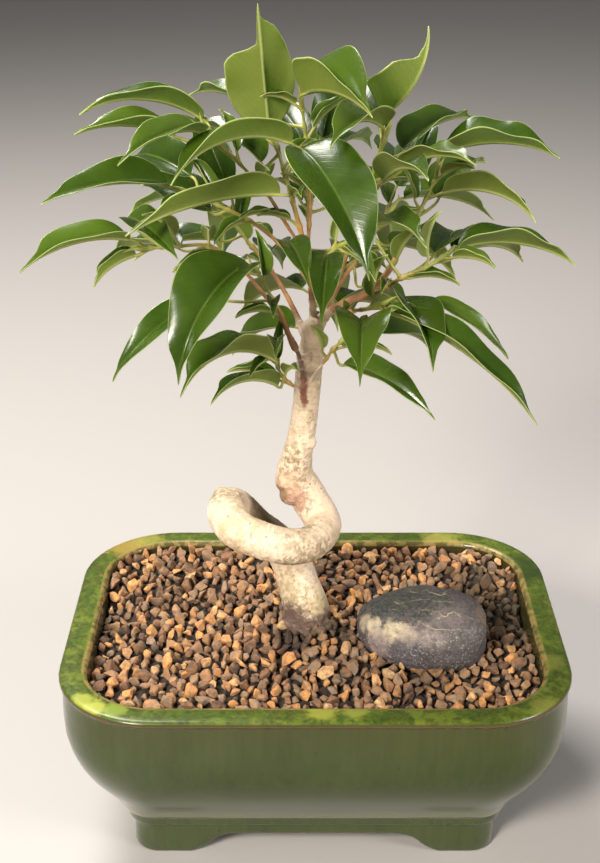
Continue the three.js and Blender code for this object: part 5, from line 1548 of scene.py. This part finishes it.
under = blend(tree, calc(tree, "MULTIPLY", veins, 0.16), under, (0.2, 0.23, 0.06, 1))
under = blend(tree, calc(tree, "MULTIPLY", midrib, 0.8), under, (0.32, 0.35, 0.11, 1))
colour = blend(tree, upper, under, top)
colour = blend(tree, calc(tree, "MULTIPLY", margin, 0.75), colour, (0.3, 0.36, 0.13, 1))
spots = effect(tree, specks, Vector=place, Scale=260, Size=0.14, Share=0.1)
colour = blend(tree, calc(tree, "MULTIPLY", spots, 0.6), colour, (0.1, 0.08, 0.03, 1))
tree.links.new(colour, shader.inputs["Base Color"])
wax = level(tree, clouds, 0.2, 0.28)
tree.links.new(level(tree, upper, 0.58, wax), shader.inputs["Roughness"])
quilt = calc(tree, "ADD", calc(tree, "MULTIPLY", veins, -0.1), calc(tree, "MULTIPLY", fine_veins, -0.03))
quilt = calc(tree, "ADD", quilt, noise_of(tree, place, 200, 2))
tree.links.new(bump(tree, quilt, 0.1), shader.inputs["Normal"])

twig_finish, tree, shader = new_finish("green_twig", Roughness=0.5, Subsurface_Weight=0.08, Subsurface_Scale=0.001)
place, age = place_of(tree), note_of(tree, "age")
clouds = effect(tree, mottling, Vector=place, Scale=240, Softness=0.2)
green = blend(tree, clouds, (0.2, 0.24, 0.035, 1), (0.32, 0.32, 0.07, 1))
brown = blend(tree, clouds, (0.33, 0.14, 0.04, 1), (0.45, 0.26, 0.08, 1))
colour = blend(tree, age, green, brown)
lenticels = effect(tree, specks, Vector=place, Scale=900, Size=0.3, Share=0.12)
colour = blend(tree, calc(tree, "MULTIPLY", lenticels, 0.6), colour, (0.16, 0.1, 0.04, 1))
tree.links.new(colour, shader.inputs["Base Color"])
tree.links.new(bump(tree, noise_of(tree, place, 900, 4), 0.12), shader.inputs["Normal"])
print("finishes:", leaf_finish.name, "and", twig_finish.name)

# %% [markdown]
# ## Twigs, stalks and buds
# A green twig goes on where a limb's bark ends. It thickens a little at each joint, where a stalk
# leaves it, and closes in a sharp, rolled bud. Stalks are thin and bend up into the midrib.

# %% Build every spray
CLEARANCE, STALK_RADIUS, YOUNG_LEAVES = 0.3, 0.42, 4


def young_leaves(line, start, rng):
    """Small new leaves that open along a twig, each most of a half turn further round it."""
    found = []
    for number in range(YOUNG_LEAVES):
        at = 0.1 + 0.88 * number / (YOUNG_LEAVES - 1)
        share, turn = start + (1 - start) * at, 2.4 * number + rng.uniform(0, 1.5)
        ahead, side, other = (line.along(share, field) for field in ("ahead", "side", "other"))
        way = unit(0.8 * ahead + math.cos(turn) * side + math.sin(turn) * other + np.array((0, 0, 0.4)))
        base = line.along(share) + way * rng.uniform(2.5, 4)
        tip = base + unit(way - np.array((0, 0, rng.uniform(0.2, 0.6)))) * rng.uniform(9, 16)
        found.append(leaf(at, base, tip, wide=rng.uniform(0.8, 1.1), fold=rng.uniform(30, 55)))
    return found


def make_spray(name, spray, seed):
    points, faces, marks, sides, tones, ages, kinds = [], [], [], [], [], [], []

    def add(new_points, new_faces, blade, upper, tone, age, kind):
        faces.extend(tuple(i + len(points) for i in face) for face in new_faces)
        points.extend(new_points)
        marks.extend(blade)
        sides.extend(upper)
        tones.extend([tone] * len(new_points))
        ages.extend(np.broadcast_to(age, len(new_points)))
        kinds.extend([kind] * len(new_faces))

    def add_tube(rings, age):
        flat = [point for ring in rings for point in ring]
        shape = skin(rings) + ends(rings)
        add(flat, shape, np.zeros((len(flat), 3)), [0] * len(shape), 0, age, 1)

    rng = np.random.default_rng(seed)
    line, bark_end = spray["line"], spray["bark"]
    start = bark_end + CLEARANCE / line.length
    leaves = spray["leaves"] + young_leaves(line, start, rng)
    joints = [start + (1 - start) * min(spec["at"], 0.97) for spec in leaves]
    shares = np.linspace(bark_end - 0.4 / line.length, 1, 44)
    radii = np.interp(shares, (0, 1), spray["radius"]) * LIMB_SLIMNESS
    for joint in joints:
        radii = radii + 0.25 * np.exp(-(((shares - joint) * line.length / 0.9) ** 2))
    rings = tube(line, radii, shares, 10)
    ages = []
    add_tube(rings, np.repeat(np.clip(1.1 - np.linspace(0, 1, len(rings)) * 1.5, 0, 1), 10))
    tip, ahead = line.along(1), line.along(1, "ahead")
    bud = SmoothLine([tip - ahead, tip + ahead * 1.5, tip + ahead * 4 + rng.normal(size=3) * 0.3, tip + ahead * 6.5 + rng.normal(size=3) * 0.8])
    swell = np.array((0.5, 0.72, 0.75, 0.66, 0.52, 0.36, 0.2, 0.06))
    add_tube(tube(bud, swell, np.linspace(0, 1, len(swell)), 8, rounded=(False, False)), 0)
    for number, (spec, joint) in enumerate(zip(leaves, joints)):
        blade_points, blade_faces, blade_notes, upper = blade_mesh(spec, seed * 31 + number)
        tone = rng.uniform(0, 1) if number < len(spray["leaves"]) else rng.uniform(0.8, 1)
        add(blade_points, blade_faces, blade_notes, upper, spec.get("tone", tone), 0, 0)
        length, along, up, _, stations = blade_frame(spec)
        heel = bezier(*stations, 0.05) - up * 0.45
        near, far = line.along(joint), heel - unit(stations[1] - stations[0]) * length * 0.1
        middle = near * 0.5 + far * 0.5 - np.array((0, 0, 0.04)) * np.linalg.norm(far - near)
        stalk = SmoothLine([near, middle, far, heel])
        shares = np.linspace(0, 1, 12)
        thick = STALK_RADIUS * (1.15 - 0.25 * shares + 0.5 * np.exp(-((shares * stalk.length / 0.8) ** 2)))
        add_tube(tube(stalk, thick, shares, 8), 0.1)
    notes = [
        ("blade", "FLOAT_VECTOR", "POINT", marks),
        ("upper", "FLOAT", "FACE", sides),
        ("tone", "FLOAT", "POINT", tones),
        ("age", "FLOAT", "POINT", ages),
    ]
    piece = new_piece("leafy_" + name, points, faces, [leaf_finish, twig_finish], kinds=kinds, notes=notes)
    stand_in(piece, "leaf", name)


for seed, (name, spray) in enumerate(SPRAYS.items(), start=1):
    make_spray(name, spray, seed)
